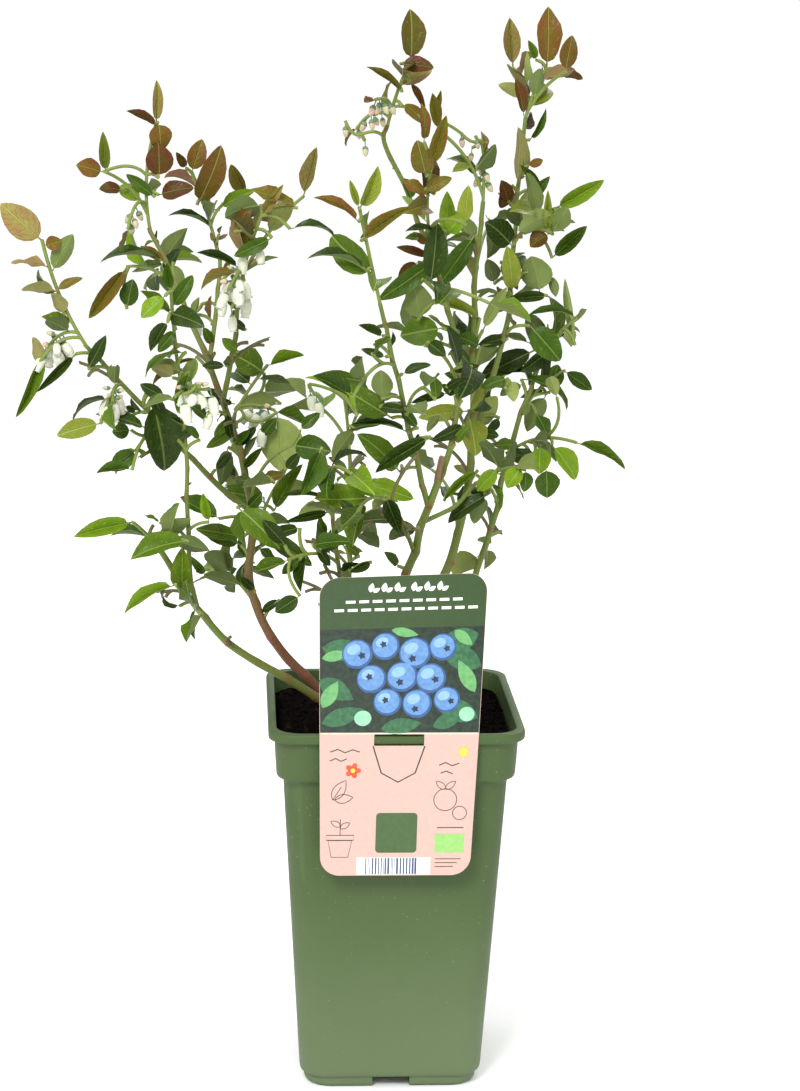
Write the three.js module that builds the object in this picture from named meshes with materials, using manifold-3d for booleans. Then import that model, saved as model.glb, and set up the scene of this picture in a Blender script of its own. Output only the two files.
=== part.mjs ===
// A young highbush blueberry in its square nursery pot, with the label card that hangs on the rim.
// Millimetres, +Z up. The origin is the middle of the pot's foot, on the ground; the card is at -Y.
import * as THREE from 'three';
import { mergeVertices } from 'three/addons/utils/BufferGeometryUtils.js';
import Module from 'manifold-3d';

const wasm = await Module();
wasm.setup();

// ---------------------------------------------------------------- driving sizes
const GAP = 0.3; // clearance between neighbouring solids
const SLIVER = 0.02;

const POT_WIDTH = 140; // over the lip
const POT_HEIGHT = 212;
const POT_WALL = 1.6;
const LIP_HEIGHT = 5.6;
const LIP_WIDTH = 4.6;
const COLLAR_HEIGHT = 22.7; // the stacking step under the lip
const COLLAR_TOP_WIDTH = 133.4;
const COLLAR_FOOT_WIDTH = 131;
const BODY_TOP_WIDTH = 123.4;
const BODY_FOOT_WIDTH = 102.4;
const FOOT_HEIGHT = 6.4;
const FOOT_WIDTH = 97;
const NOTCH_WIDTH = 21; // drainage notch in the middle of each side of the foot
const NOTCH_DEPTH = 24;
const CORNER_RADIUS = 14.5; // in plan, at the lip
const CORNER_STEPS = 4;

const SOIL_TOP = 203;
const SOIL_FOOT = FOOT_HEIGHT + POT_WALL + GAP;

const CARD_THICKNESS = 0.6;
const CARD_FOOT = 133;
const CARD_TOP = 300.5;
const CARD_TOP_WIDTH = 91;
const CARD_FOOT_WIDTH = 81.5;
const CARD_CORNER = 10.5;
const CARD_ROWS = 12;
const CARD_FRONT = -POT_WIDTH / 2 - GAP - CARD_THICKNESS;
const CARD_TWIST = 9; // degrees that the free upper end has turned out of line
const WINDOW_WIDTH = 27;
const WINDOW_FOOT = 206.4;
const TAB_WIDTH = 25;
const TAB_REACH = 7; // how far the folded tab lies back over the lip

const OLD_CANES = ['cane_main_left']; // brown bark, the others are still green
const CANE_SIDES = 7;
const BOUGH_SIDES = 5;
const LIMB_STEP = 21; // length between two rings of a limb
const FLARE_SHARE = 0.4; // how much thicker a cane is at the soil
const FLARE_LENGTH = 9;

const LEAF_THICKNESS = 0.7;
const LEAF_WIDEST = 0.42; // where along its length a leaf is widest
const LEAF_SHAPE = 0.58; // width for each unit of length
const LEAF_SINK = 0.2; // how far a leaf's root lies past the axis of its twig
const LEAF_LIFE = 1.1; // these few leaves stand for more, so they are a little larger than life
const TWIG_SIDES = 3;
const TWIG_STEPS = 3;
const TWIG_ROOT_RADIUS = 1.15;
const TWIG_TIP_RADIUS = 0.7;
const SPIRAL = THREE.MathUtils.degToRad(137.5); // turn from one leaf to the next
const LEAN_LEAST = THREE.MathUtils.degToRad(48); // a leaf's angle from its twig
const LEAN_SPREAD = THREE.MathUtils.degToRad(26);
const FORK_AT_TIP = 0.14; // where the second twig leaves a stem that carries a limb on
const FORK_AT_SIDE = 0.28; // and one that stands out from a limb's side
const FORK_STEP = 0.1;
const SPRIG_LEAST = 24;
const SPRIG_SPREAD = 14;
const BELL_LENGTH = 8.6;
const BELL_RADIUS = 2.9;
const BELL_SIDES = 4;
const STALK_LENGTH = 4.5;
const CLEAR = 0.3; // how much a twig, leaf or bell is thickened for the test that keeps it clear

// Each limb has its foot, the places it bends through and its tip. A bough's foot lies on the axis of
// the limb named by "from", at the share "at" of that limb's length.
const LIMBS = [
  { name: 'cane_arching_left', root: 2.9, tip: 1.7,
    path: [[-22, -6], [-43, -8, 217], [-97, -18, 255], [-130, -30, 307]] },
  { name: 'cane_main_left', root: 3.1, tip: 1.3,
    path: [[-30, 4], [-61, 6, 238], [-79, 11, 272], [-79, 16, 318], [-91, 20, 367], [-121, 30, 442],
      [-136, 36, 473]] },
  { name: 'cane_front_right', root: 3.2, tip: 2.2,
    path: [[-11, -4], [-3, -10, 250], [10, -18, 302], [22, -28, 345]] },
  { name: 'cane_tall_right', root: 3.3, tip: 1.4,
    path: [[1, 6], [13, 10, 240], [37, 20, 302], [45, 32, 355], [46, 44, 440], [50, 48, 488]] },
  { name: 'cane_outer_right', root: 2.3, tip: 1.4,
    path: [[13, 16], [37, 30, 251], [57, 43, 297], [70, 60, 346], [88, 80, 393]] },
  { name: 'cane_young_front', root: 1.7, tip: 1.2,
    path: [[-17, -14], [-31, -34, 290], [-38, -50, 348]] },
  { name: 'cane_young_back', root: 1.7, tip: 1.2,
    path: [[-12, 14], [-22, 44, 265], [-22, 74, 339]] },
  { name: 'bough_far_left', from: 'cane_main_left', at: 0.45, root: 1.9, tip: 1.2,
    path: [[-101, 2, 338], [-127, -16, 370], [-168, -36, 418]] },
  { name: 'bough_slim_left', from: 'cane_arching_left', at: 0.73, root: 1.5, tip: 1.0,
    path: [[-113, -25, 296], [-115, -34, 367], [-121, -40, 429]] },
  { name: 'bough_upper_left', from: 'cane_main_left', at: 0.73, root: 1.5, tip: 1.1,
    path: [[-101, 33, 412], [-97, 50, 448], [-101, 60, 468]] },
  { name: 'bough_inner_left', from: 'cane_main_left', at: 0.66, root: 1.7, tip: 1.2,
    path: [[-90, 14, 405], [-87, 4, 433], [-86, -4, 446]] },
  { name: 'bough_centre', from: 'cane_front_right', at: 0.88, root: 1.8, tip: 1.2,
    path: [[8, -36, 362], [-4, -54, 410], [-13, -64, 445]] },
  { name: 'bough_top_centre', from: 'cane_front_right', at: 0.93, root: 1.9, tip: 1.3,
    path: [[28, -18, 356], [34, -8, 400], [25, 0, 443], [6, 4, 493], [-8, 0, 523], [-7, -2, 533]] },
  { name: 'bough_low_right', from: 'cane_front_right', at: 0.82, root: 1.5, tip: 1.1,
    path: [[33, -14, 327], [45, -4, 338]] },
  { name: 'bough_low_centre', from: 'cane_front_right', at: 0.7, root: 1.4, tip: 1.0,
    path: [[2, -36, 323], [-8, -50, 338]] },
  { name: 'bough_top_right', from: 'cane_tall_right', at: 0.53, root: 1.9, tip: 1.2,
    path: [[52, 44, 372], [66, 60, 416], [70, 70, 462], [73, 76, 501], [76, 80, 533]] },
];

// Each mass of foliage grows from one stem, which starts on a limb at the share "at" of its length.
// A twig ends at "tip" and bears "leaves" of the length "leaf" and, on a flowering twig, "bells". The
// last leaf of a twig reaches to "end" where that is given. "sprigs" counts shoots that the rule adds.
const MASSES = [
  { name: 'leaves_far_left_top', limb: 'bough_far_left', at: 1, twigs: [
    { tip: [-189, -50, 475], leaves: 7, leaf: 24, end: [-210, -54, 494] },
    { tip: [-189, -34, 414], leaves: 4, leaf: 27, bells: 5, end: [-205, -38, 379] }] },
  { name: 'leaves_far_left_low', limb: 'bough_far_left', at: 0.78, twigs: [
    { tip: [-153, -48, 389], leaves: 3, leaf: 22, bells: 5 },
    { tip: [-159, -56, 379], leaves: 4, leaf: 25, end: [-182, -60, 373] }] },
  { name: 'leaves_left_side', limb: 'bough_far_left', at: 0.54, twigs: [
    { tip: [-143, -44, 352], leaves: 5, leaf: 25, end: [-162, -50, 351] },
    { tip: [-136, -38, 378], leaves: 3, leaf: 28, end: [-127, -46, 351] }] },
  { name: 'leaves_low_left', limb: 'cane_arching_left', at: 1, twigs: [
    { tip: [-143, -46, 324], leaves: 5, leaf: 27, end: [-174, -52, 317] },
    { tip: [-113, -44, 313], leaves: 5, leaf: 28, end: [-144, -50, 304] }] },
  { name: 'leaves_low_left_under', limb: 'cane_arching_left', at: 0.68, sprigs: 1, twigs: [
    { tip: [-120, -56, 292], leaves: 5, leaf: 26, end: [-147, -62, 277] },
    { tip: [-100, -60, 270], leaves: 5, leaf: 26 }] },
  { name: 'leaves_top_left', limb: 'cane_main_left', at: 1, twigs: [
    { tip: [-132, 45, 530], leaves: 6, leaf: 27, end: [-132, 48, 553] },
    { tip: [-159, 15, 505], leaves: 6, leaf: 21, end: [-160, 14, 527] },
    { tip: [-147, 18, 474], leaves: 1, leaf: 18, bells: 5 }] },
  { name: 'leaves_upper_left', limb: 'cane_main_left', at: 0.88, twigs: [
    { tip: [-149, 56, 449], leaves: 6, leaf: 28, end: [-171, 60, 419] },
    { tip: [-121, 72, 452], leaves: 6, leaf: 25 },
    { tip: [-140, 66, 424], leaves: 4, leaf: 27 }] },
  { name: 'leaves_top_inner_left', limb: 'bough_upper_left', at: 1, twigs: [
    { tip: [-113, 60, 502], leaves: 6, leaf: 29, end: [-107, 62, 520] },
    { tip: [-82, 86, 486], leaves: 7, leaf: 27, end: [-91, 90, 504] }] },
  { name: 'leaves_inner_left', limb: 'bough_inner_left', at: 1, twigs: [
    { tip: [-74, -20, 487], leaves: 7, leaf: 27, end: [-63, -26, 503] },
    { tip: [-51, 26, 492], leaves: 6, leaf: 27, end: [-44, 26, 519] },
    { tip: [-92, -28, 447], leaves: 3, leaf: 22, bells: 5 }] },
  { name: 'leaves_slim_left_top', limb: 'bough_slim_left', at: 1, twigs: [
    { tip: [-122, -50, 449], leaves: 5, leaf: 20, end: [-124, -52, 464] },
    { tip: [-123, -75, 436], leaves: 5, leaf: 24, end: [-132, -80, 421] }] },
  { name: 'leaves_slim_left_mid', limb: 'bough_slim_left', at: 0.74, twigs: [
    { tip: [-107, -62, 400], leaves: 3, leaf: 22, bells: 5 },
    { tip: [-124, -70, 392], leaves: 5, leaf: 24 }] },
  { name: 'leaves_mid_left', limb: 'cane_main_left', at: 0.61, twigs: [
    { tip: [-73, 50, 379], leaves: 6, leaf: 30, end: [-51, 60, 342] },
    { tip: [-70, 54, 394], leaves: 5, leaf: 27, end: [-49, 58, 399] },
    { tip: [-66, 30, 372], leaves: 1, leaf: 25, bells: 4 }] },
  { name: 'leaves_centre_left', limb: 'cane_main_left', at: 0.47, twigs: [
    { tip: [-57, -18, 361], leaves: 7, leaf: 28, end: [-36, -26, 359] },
    { tip: [-64, -26, 336], leaves: 6, leaf: 28 }] },
  { name: 'leaves_left_low', limb: 'cane_main_left', at: 0.4, twigs: [
    { tip: [-87, -36, 330], leaves: 6, leaf: 27, end: [-64, -46, 309] },
    { tip: [-106, -24, 318], leaves: 5, leaf: 27 }] },
  { name: 'leaves_left_foot', limb: 'cane_main_left', at: 0.28, twigs: [
    { tip: [-100, 48, 276], leaves: 6, leaf: 26 },
    { tip: [-74, 62, 286], leaves: 6, leaf: 26 }] },
  { name: 'leaves_left_back', limb: 'cane_main_left', at: 0.36, twigs: [
    { tip: [-62, 66, 326], leaves: 6, leaf: 28 },
    { tip: [-96, 60, 334], leaves: 5, leaf: 27 }] },
  { name: 'leaves_young_front', limb: 'cane_young_front', at: 1, twigs: [
    { tip: [-43, -70, 369], leaves: 6, leaf: 28, end: [-54, -82, 346] },
    { tip: [-60, -76, 350], leaves: 5, leaf: 27 },
    { tip: [-27, -86, 358], leaves: 5, leaf: 28 }] },
  { name: 'leaves_young_front_low', limb: 'cane_young_front', at: 0.68, twigs: [
    { tip: [-60, -58, 306], leaves: 6, leaf: 25 },
    { tip: [-48, -74, 320], leaves: 5, leaf: 25 }] },
  { name: 'leaves_young_back', limb: 'cane_young_back', at: 1, twigs: [
    { tip: [-26, 62, 374], leaves: 7, leaf: 30, end: [-48, 66, 385] },
    { tip: [-46, 96, 368], leaves: 6, leaf: 29 },
    { tip: [-6, 112, 366], leaves: 6, leaf: 30 }] },
  { name: 'leaves_young_back_low', limb: 'cane_young_back', at: 0.68, twigs: [
    { tip: [-4, 88, 304], leaves: 6, leaf: 27 },
    { tip: [-34, 98, 300], leaves: 6, leaf: 27 }] },
  { name: 'leaves_centre_top', limb: 'bough_centre', at: 1, twigs: [
    { tip: [-25, -80, 496], leaves: 8, leaf: 31, end: [-16, -84, 518] }] },
  { name: 'leaves_centre_upper', limb: 'bough_centre', at: 0.71, twigs: [
    { tip: [-28, -86, 398], leaves: 6, leaf: 28, end: [-49, -94, 411] },
    { tip: [-21, -84, 430], leaves: 5, leaf: 17 }] },
  { name: 'leaves_centre', limb: 'bough_centre', at: 0.45, twigs: [
    { tip: [10, -78, 403], leaves: 6, leaf: 28, end: [-2, -84, 427] },
    { tip: [18, -80, 378], leaves: 6, leaf: 30 }] },
  { name: 'leaves_low_centre', limb: 'bough_low_centre', at: 1, sprigs: 1, twigs: [
    { tip: [-24, -90, 340], leaves: 6, leaf: 30 },
    { tip: [10, -76, 348], leaves: 5, leaf: 28 }] },
  { name: 'leaves_mid_centre', limb: 'bough_top_centre', at: 0.28, twigs: [
    { tip: [12, -44, 420], leaves: 6, leaf: 28 },
    { tip: [56, -44, 402], leaves: 6, leaf: 29 }] },
  { name: 'leaves_high_centre', limb: 'bough_top_centre', at: 0.62, twigs: [
    { tip: [15, -36, 515], leaves: 9, leaf: 26, end: [22, -38, 541] },
    { tip: [33, -40, 484], leaves: 5, leaf: 26, end: [34, -44, 505] }] },
  { name: 'leaves_upper_centre', limb: 'bough_top_centre', at: 0.49, twigs: [
    { tip: [-2, -42, 458], leaves: 5, leaf: 34 },
    { tip: [47, -38, 442], leaves: 6, leaf: 29 }] },
  { name: 'leaves_top_centre', limb: 'bough_top_centre', at: 1, twigs: [
    { tip: [4, -18, 568], leaves: 6, leaf: 26, end: [3, -18, 595] },
    { tip: [-23, 10, 530], leaves: 1, leaf: 14, bells: 4 },
    { tip: [-15, -28, 548], leaves: 1, leaf: 16, bells: 5 }] },
  { name: 'leaves_top_tall_right', limb: 'cane_tall_right', at: 1, twigs: [
    { tip: [50, 50, 514], leaves: 1, leaf: 15, bells: 5 },
    { tip: [22, 28, 529], leaves: 8, leaf: 22, end: [19, 28, 549] }] },
  { name: 'leaves_back_right', limb: 'cane_tall_right', at: 0.87, twigs: [
    { tip: [60, 98, 470], leaves: 7, leaf: 29 },
    { tip: [30, 88, 450], leaves: 6, leaf: 29 }] },
  { name: 'leaves_mid_right', limb: 'cane_tall_right', at: 0.6, twigs: [
    { tip: [60, -12, 392], leaves: 7, leaf: 31 },
    { tip: [42, -8, 404], leaves: 5, leaf: 28 }] },
  { name: 'leaves_mid_back', limb: 'cane_tall_right', at: 0.68, twigs: [
    { tip: [30, 86, 400], leaves: 7, leaf: 29 },
    { tip: [12, 66, 410], leaves: 6, leaf: 28 }] },
  { name: 'leaves_low_back', limb: 'cane_tall_right', at: 0.37, sprigs: 1, twigs: [
    { tip: [26, 74, 330], leaves: 6, leaf: 28 }] },
  { name: 'leaves_top_right', limb: 'bough_top_right', at: 1, twigs: [
    { tip: [88, 84, 561], leaves: 8, leaf: 27, end: [88, 86, 595] },
    { tip: [96, 60, 560], leaves: 6, leaf: 22, end: [99, 60, 580] },
    { tip: [70, 100, 560], leaves: 6, leaf: 26, end: [68, 104, 588] }] },
  { name: 'leaves_upper_right', limb: 'bough_top_right', at: 0.63, sprigs: 1, twigs: [
    { tip: [92, 56, 484], leaves: 7, leaf: 30, end: [119, 56, 500] },
    { tip: [98, 36, 462], leaves: 6, leaf: 30, end: [108, 28, 479] }] },
  { name: 'leaves_upper_right_back', limb: 'bough_top_right', at: 0.42, twigs: [
    { tip: [70, 108, 440], leaves: 6, leaf: 28 }] },
  { name: 'leaves_right_tip', limb: 'cane_outer_right', at: 1, twigs: [
    { tip: [100, 66, 415], leaves: 7, leaf: 30 },
    { tip: [106, 96, 412], leaves: 6, leaf: 28, end: [104, 98, 438] }] },
  { name: 'leaves_right_side', limb: 'cane_outer_right', at: 0.86, twigs: [
    { tip: [104, 92, 386], leaves: 6, leaf: 28, end: [121, 96, 374] },
    { tip: [112, 78, 372], leaves: 5, leaf: 28 }] },
  { name: 'leaves_right_low', limb: 'cane_outer_right', at: 0.74, sprigs: 1, twigs: [
    { tip: [106, 44, 352], leaves: 8, leaf: 26, end: [134, 40, 337] },
    { tip: [92, 34, 370], leaves: 6, leaf: 27 }] },
  { name: 'leaves_low_right', limb: 'bough_low_right', at: 1, twigs: [
    { tip: [64, -22, 350], leaves: 6, leaf: 28 },
    { tip: [51, -28, 334], leaves: 5, leaf: 28, end: [28, -34, 318] }] },
  { name: 'leaves_right_foot', limb: 'cane_outer_right', at: 0.5, twigs: [
    { tip: [58, 68, 284], leaves: 4, leaf: 30, end: [50, 72, 262] },
    { tip: [78, 66, 300], leaves: 4, leaf: 27 }] },
];

// ---------------------------------------------------------------- solids and surfaces
const vector = ([x, y, z]) => new THREE.Vector3(x, y, z);
const UP = new THREE.Vector3(0, 0, 1);
const LIGHT = new THREE.Vector3(0.1, -0.9, 0.4); // where the outermost leaves turn their faces

function solidOf(geometry) {
  const bare = geometry.index ? geometry.toNonIndexed() : geometry.clone();
  bare.deleteAttribute('normal');
  bare.deleteAttribute('uv');
  const merged = mergeVertices(bare, 1e-4);
  const corners = [];
  for (let i = 0; i < merged.index.count; i += 3) {
    const face = [merged.index.getX(i), merged.index.getX(i + 1), merged.index.getX(i + 2)];
    if (face[0] !== face[1] && face[1] !== face[2] && face[2] !== face[0]) corners.push(...face);
  }
  return new wasm.Manifold(new wasm.Mesh({
    numProp: 3,
    vertProperties: new Float32Array(merged.attributes.position.array),
    triVerts: new Uint32Array(corners),
  }));
}

// Of what a join leaves, only the one outer body: a hollow that it sealed is filled, a scrap is dropped,
// and so is a sliver that is thinner than SLIVER.
function mainBody(solid) {
  const bodies = solid.simplify(SLIVER).decompose();
  return bodies.reduce((best, body) => (body.volume() > best.volume() ? body : best));
}

function geometryOf(solid) {
  const mesh = solid.getMesh();
  const geometry = new THREE.BufferGeometry();
  geometry.setAttribute('position', new THREE.BufferAttribute(mesh.vertProperties, 3));
  geometry.setIndex(new THREE.BufferAttribute(mesh.triVerts, 1));
  return geometry;
}

function box(width, depth, height, x, y, z) {
  return new THREE.BoxGeometry(width, depth, height).translate(x, y, z);
}

// ---------------------------------------------------------------- pot, soil and card
// A turned shell is squared off: each ring keeps its half width and takes rounded corners.
function squareOff(lathe, cornerRadius) {
  const segments = 4 * (CORNER_STEPS + 1);
  const place = lathe.attributes.position;
  for (let i = 0; i < place.count; i += 1) {
    const half = Math.hypot(place.getX(i), place.getZ(i));
    const step = Math.floor(i / (place.count / (segments + 1))) % segments;
    const quarter = Math.floor(step / (CORNER_STEPS + 1));
    const turn = (quarter + (step % (CORNER_STEPS + 1)) / CORNER_STEPS) * (Math.PI / 2);
    const radius = Math.min(cornerRadius, half);
    const middle = half - radius;
    const side = (quarter + 0.5) * (Math.PI / 2);
    const x = Math.sign(Math.cos(side)) * middle + radius * Math.cos(turn);
    const y = Math.sign(Math.sin(side)) * middle + radius * Math.sin(turn);
    place.setXYZ(i, half < 1e-6 ? 0 : x, half < 1e-6 ? 0 : y, place.getY(i));
  }
  return lathe;
}

function squareShell(profile, cornerRadius) {
  const points = profile.map(([width, height]) => new THREE.Vector2(width / 2, height));
  return squareOff(new THREE.LatheGeometry(points, 4 * (CORNER_STEPS + 1)), cornerRadius);
}

const COLLAR_FOOT = POT_HEIGHT - LIP_HEIGHT - COLLAR_HEIGHT;
const INNER_TOP_WIDTH = POT_WIDTH - 2 * LIP_WIDTH;
const INNER_COLLAR_WIDTH = COLLAR_FOOT_WIDTH - 2 * POT_WALL;
const INNER_BODY_WIDTH = BODY_TOP_WIDTH - 2 * POT_WALL;
const INNER_FOOT_WIDTH = BODY_FOOT_WIDTH - 2 * POT_WALL;

function pot() {
  const shell = squareShell([
    [0, 0],
    [FOOT_WIDTH - 6, 0],
    [FOOT_WIDTH, 2.4],
    [FOOT_WIDTH, FOOT_HEIGHT],
    [BODY_FOOT_WIDTH - 4, FOOT_HEIGHT],
    [BODY_FOOT_WIDTH, FOOT_HEIGHT + 3.5],
    [BODY_TOP_WIDTH, COLLAR_FOOT],
    [COLLAR_FOOT_WIDTH - 3, COLLAR_FOOT],
    [COLLAR_FOOT_WIDTH, COLLAR_FOOT + 3],
    [COLLAR_TOP_WIDTH, POT_HEIGHT - LIP_HEIGHT],
    [POT_WIDTH - 1, POT_HEIGHT - LIP_HEIGHT],
    [POT_WIDTH, POT_HEIGHT - LIP_HEIGHT + 1],
    [POT_WIDTH, POT_HEIGHT - 1],
    [POT_WIDTH - 2, POT_HEIGHT],
    [INNER_TOP_WIDTH, POT_HEIGHT],
    [INNER_COLLAR_WIDTH, COLLAR_FOOT + 4],
    [INNER_BODY_WIDTH, COLLAR_FOOT - 4],
    [INNER_FOOT_WIDTH, FOOT_HEIGHT + POT_WALL],
    [0, FOOT_HEIGHT + POT_WALL],
  ], CORNER_RADIUS);
  let solid = solidOf(shell);
  const reach = FOOT_WIDTH / 2 + 4;
  for (const [x, y] of [[0, -1], [0, 1], [-1, 0], [1, 0]]) {
    const notch = box(
      y ? NOTCH_WIDTH : NOTCH_DEPTH + 4,
      y ? NOTCH_DEPTH + 4 : NOTCH_WIDTH,
      2 * FOOT_HEIGHT - 0.4,
      x * (reach - (NOTCH_DEPTH + 4) / 2),
      y * (reach - (NOTCH_DEPTH + 4) / 2),
      0,
    );
    solid = solid.subtract(solidOf(notch));
  }
  return geometryOf(mainBody(solid));
}

function soil() {
  const inset = 2 * GAP + 0.4;
  return geometryOf(solidOf(squareShell([
    [0, SOIL_FOOT],
    [INNER_FOOT_WIDTH - inset, SOIL_FOOT],
    [INNER_BODY_WIDTH - inset, COLLAR_FOOT - 4],
    [INNER_COLLAR_WIDTH - inset, COLLAR_FOOT + 4],
    [INNER_COLLAR_WIDTH - inset, SOIL_TOP],
    [0, SOIL_TOP],
  ], CORNER_RADIUS)));
}

// How far back a point of the card lies, as its free upper end is twisted.
function cardDepth(x, z) {
  const share = Math.max(0, z - POT_HEIGHT) / (CARD_TOP - POT_HEIGHT);
  return Math.tan(THREE.MathUtils.degToRad(CARD_TWIST * share)) * x;
}

function labelCard() {
  const plate = new THREE.BoxGeometry(1, CARD_THICKNESS, 1, 2, 1, CARD_ROWS);
  const place = plate.attributes.position;
  for (let i = 0; i < place.count; i += 1) {
    const turn = (place.getZ(i) + 0.5) * Math.PI;
    const z = (CARD_FOOT + CARD_TOP) / 2 - (Math.cos(turn) * (CARD_TOP - CARD_FOOT)) / 2;
    const share = (z - CARD_FOOT) / (CARD_TOP - CARD_FOOT);
    const width = CARD_FOOT_WIDTH + (CARD_TOP_WIDTH - CARD_FOOT_WIDTH) * share;
    const fromEnd = Math.min(z - CARD_FOOT, CARD_TOP - z);
    const short = Math.max(0, CARD_CORNER - fromEnd);
    const cut = CARD_CORNER - Math.sqrt(CARD_CORNER ** 2 - short ** 2);
    const x = 2 * place.getX(i) * (width / 2 - cut);
    place.setXYZ(i, x, CARD_FRONT + CARD_THICKNESS / 2 + place.getY(i) + cardDepth(x, z), z);
  }
  const windowHeight = POT_HEIGHT + 1.6 - WINDOW_FOOT;
  const hole = box(WINDOW_WIDTH, 6, windowHeight, 0, CARD_FRONT, WINDOW_FOOT + windowHeight / 2);
  const tabFoot = POT_HEIGHT + GAP;
  const tab = box(TAB_WIDTH, TAB_REACH, CARD_THICKNESS, 0, CARD_FRONT + TAB_REACH / 2,
    tabFoot + CARD_THICKNESS / 2);
  const fold = box(TAB_WIDTH, CARD_THICKNESS, 1.8, 0, CARD_FRONT + CARD_THICKNESS / 2, tabFoot + 0.9);
  const card = solidOf(plate).subtract(solidOf(hole)).add(solidOf(fold)).add(solidOf(tab));
  return geometryOf(mainBody(card));
}

// ---------------------------------------------------------------- limbs
// A tapered rod whose axis follows a curve, closed by a flat face at each end.
function bendRod(curve, radiusAt, sides, steps) {
  const rod = new THREE.CylinderGeometry(1, 1, 1, sides, steps);
  const rings = [];
  let across = new THREE.Vector3(0.31, -0.87, 0.38);
  for (let i = 0; i <= steps; i += 1) {
    const share = i / steps;
    const middle = curve.getPointAt(share);
    const along = curve.getTangentAt(share);
    across = across.clone().addScaledVector(along, -across.dot(along)).normalize();
    const aside = new THREE.Vector3().crossVectors(across, along);
    rings.push({ middle, across, aside, radius: radiusAt(share) });
  }
  const place = rod.attributes.position;
  for (let i = 0; i < place.count; i += 1) {
    const ring = rings[Math.round((place.getY(i) + 0.5) * steps)];
    const point = ring.middle.clone()
      .addScaledVector(ring.across, place.getX(i) * ring.radius)
      .addScaledVector(ring.aside, place.getZ(i) * ring.radius);
    place.setXYZ(i, point.x, point.y, point.z);
  }
  return rod;
}

const taper = (root, tip) => (share) => root + (tip - root) * share;
const flare = (root, tip, length) => (share) => (
  taper(root, tip)(share) + FLARE_SHARE * root * Math.exp((-share * length) / FLARE_LENGTH)
);

// Everything that has been placed, as faces with their owner, for the rule that keeps pieces apart.
const placed = [];

function facesOf(geometry) {
  const bare = geometry.index ? geometry.toNonIndexed() : geometry;
  const place = bare.attributes.position;
  const faces = [];
  for (let i = 0; i < place.count; i += 3) {
    const face = [0, 1, 2].map((k) => new THREE.Vector3().fromBufferAttribute(place, i + k));
    if (new THREE.Triangle(...face).getArea() > 1e-6) faces.push(face);
  }
  const bounds = new THREE.Box3().setFromPoints(faces.flat());
  return { faces, bounds };
}

function edgeMeets(from, to, face) {
  const along = new THREE.Vector3().subVectors(to, from);
  const length = along.length();
  const ray = new THREE.Ray(from, along.divideScalar(length));
  const hit = ray.intersectTriangle(...face, false, new THREE.Vector3());
  return hit !== null && hit.distanceTo(from) <= length;
}

function crosses(one, other) {
  return one.faces.some((face) => other.faces.some((rival) => (
    [0, 1, 2].some((k) => edgeMeets(face[k], face[(k + 1) % 3], rival))
    || [0, 1, 2].some((k) => edgeMeets(rival[k], rival[(k + 1) % 3], face)))));
}

// A twig is free when it meets no other part, a leaf when it meets none but the twigs of its own mass.
function isFree(shape, owner, isTwig) {
  return placed.every((rival) => (
    (rival.owner === owner && (isTwig || rival.isTwig))
    || !rival.shape.bounds.intersectsBox(shape.bounds)
    || !crosses(shape, rival.shape)
  ));
}

const limbs = new Map();

function growLimb(spec) {
  const parent = spec.from ? limbs.get(spec.from) : null;
  const foot = parent ? parent.curve.getPointAt(spec.at) : new THREE.Vector3(...spec.path[0], SOIL_TOP - 4);
  const bends = (parent ? spec.path : spec.path.slice(1)).map(vector);
  const start = parent ? [foot] : [foot, foot.clone().setZ(SOIL_TOP + 3)];
  const curve = new THREE.CatmullRomCurve3([...start, ...bends], false, 'catmullrom', 0.5);
  const length = curve.getLength();
  const sides = parent ? BOUGH_SIDES : CANE_SIDES;
  const steps = Math.max(3, Math.round(length / LIMB_STEP));
  const radiusAt = parent ? taper(spec.root, spec.tip) : flare(spec.root, spec.tip, length);
  const grown = (extra) => bendRod(curve, (share) => radiusAt(share) + extra, sides, steps);
  let solid = solidOf(grown(0));
  if (parent) {
    solid = solid.subtract(solidOf(parent.grown(GAP)));
  } else {
    solid = solid.subtract(solidOf(box(60, 60, 20, foot.x, foot.y, SOIL_TOP + GAP - 10)));
  }
  const limb = { curve, grown, solid: mainBody(solid) };
  limbs.set(spec.name, limb);
  placed.push({ owner: spec.name, isTwig: true, shape: facesOf(grown(CLEAR)) });
  return limb;
}

// ---------------------------------------------------------------- foliage
// A seeded run of numbers from 0 to 1, the same for the same name.
function seededBy(name) {
  let state = [...name].reduce((sum, letter) => (Math.imul(sum, 31) + letter.charCodeAt(0)) >>> 0, 7);
  return () => {
    state = (Math.imul(state, 1664525) + 1013904223) >>> 0;
    return state / 4294967296;
  };
}

// The frame of a piece that grows along "axis" with its face turned to "facing".
function frameOf(axis, facing) {
  const along = axis.clone().normalize();
  const side = new THREE.Vector3().crossVectors(along, facing);
  if (side.length() < 0.05) side.crossVectors(along, new THREE.Vector3(1, 0, 0));
  side.normalize();
  return new THREE.Matrix4().makeBasis(side, along, new THREE.Vector3().crossVectors(side, along));
}

// A leaf of eight faces: base, tip, two sides and a point above and below the midrib.
function leafShape(at, axis, facing, length, extra = 0) {
  const leaf = new THREE.OctahedronGeometry(1, 0);
  const place = leaf.attributes.position;
  for (let i = 0; i < place.count; i += 1) {
    const x = place.getX(i) * (LEAF_SHAPE * 0.5 * length + extra);
    const y = (Math.abs(place.getY(i)) < 0.5 ? LEAF_WIDEST : (place.getY(i) + 1) / 2) * (length + extra);
    place.setXYZ(i, x, y - LEAF_SINK, place.getZ(i) * (LEAF_THICKNESS / 2 + extra));
  }
  return leaf.applyMatrix4(frameOf(axis, facing)).translate(at.x, at.y, at.z);
}

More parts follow.
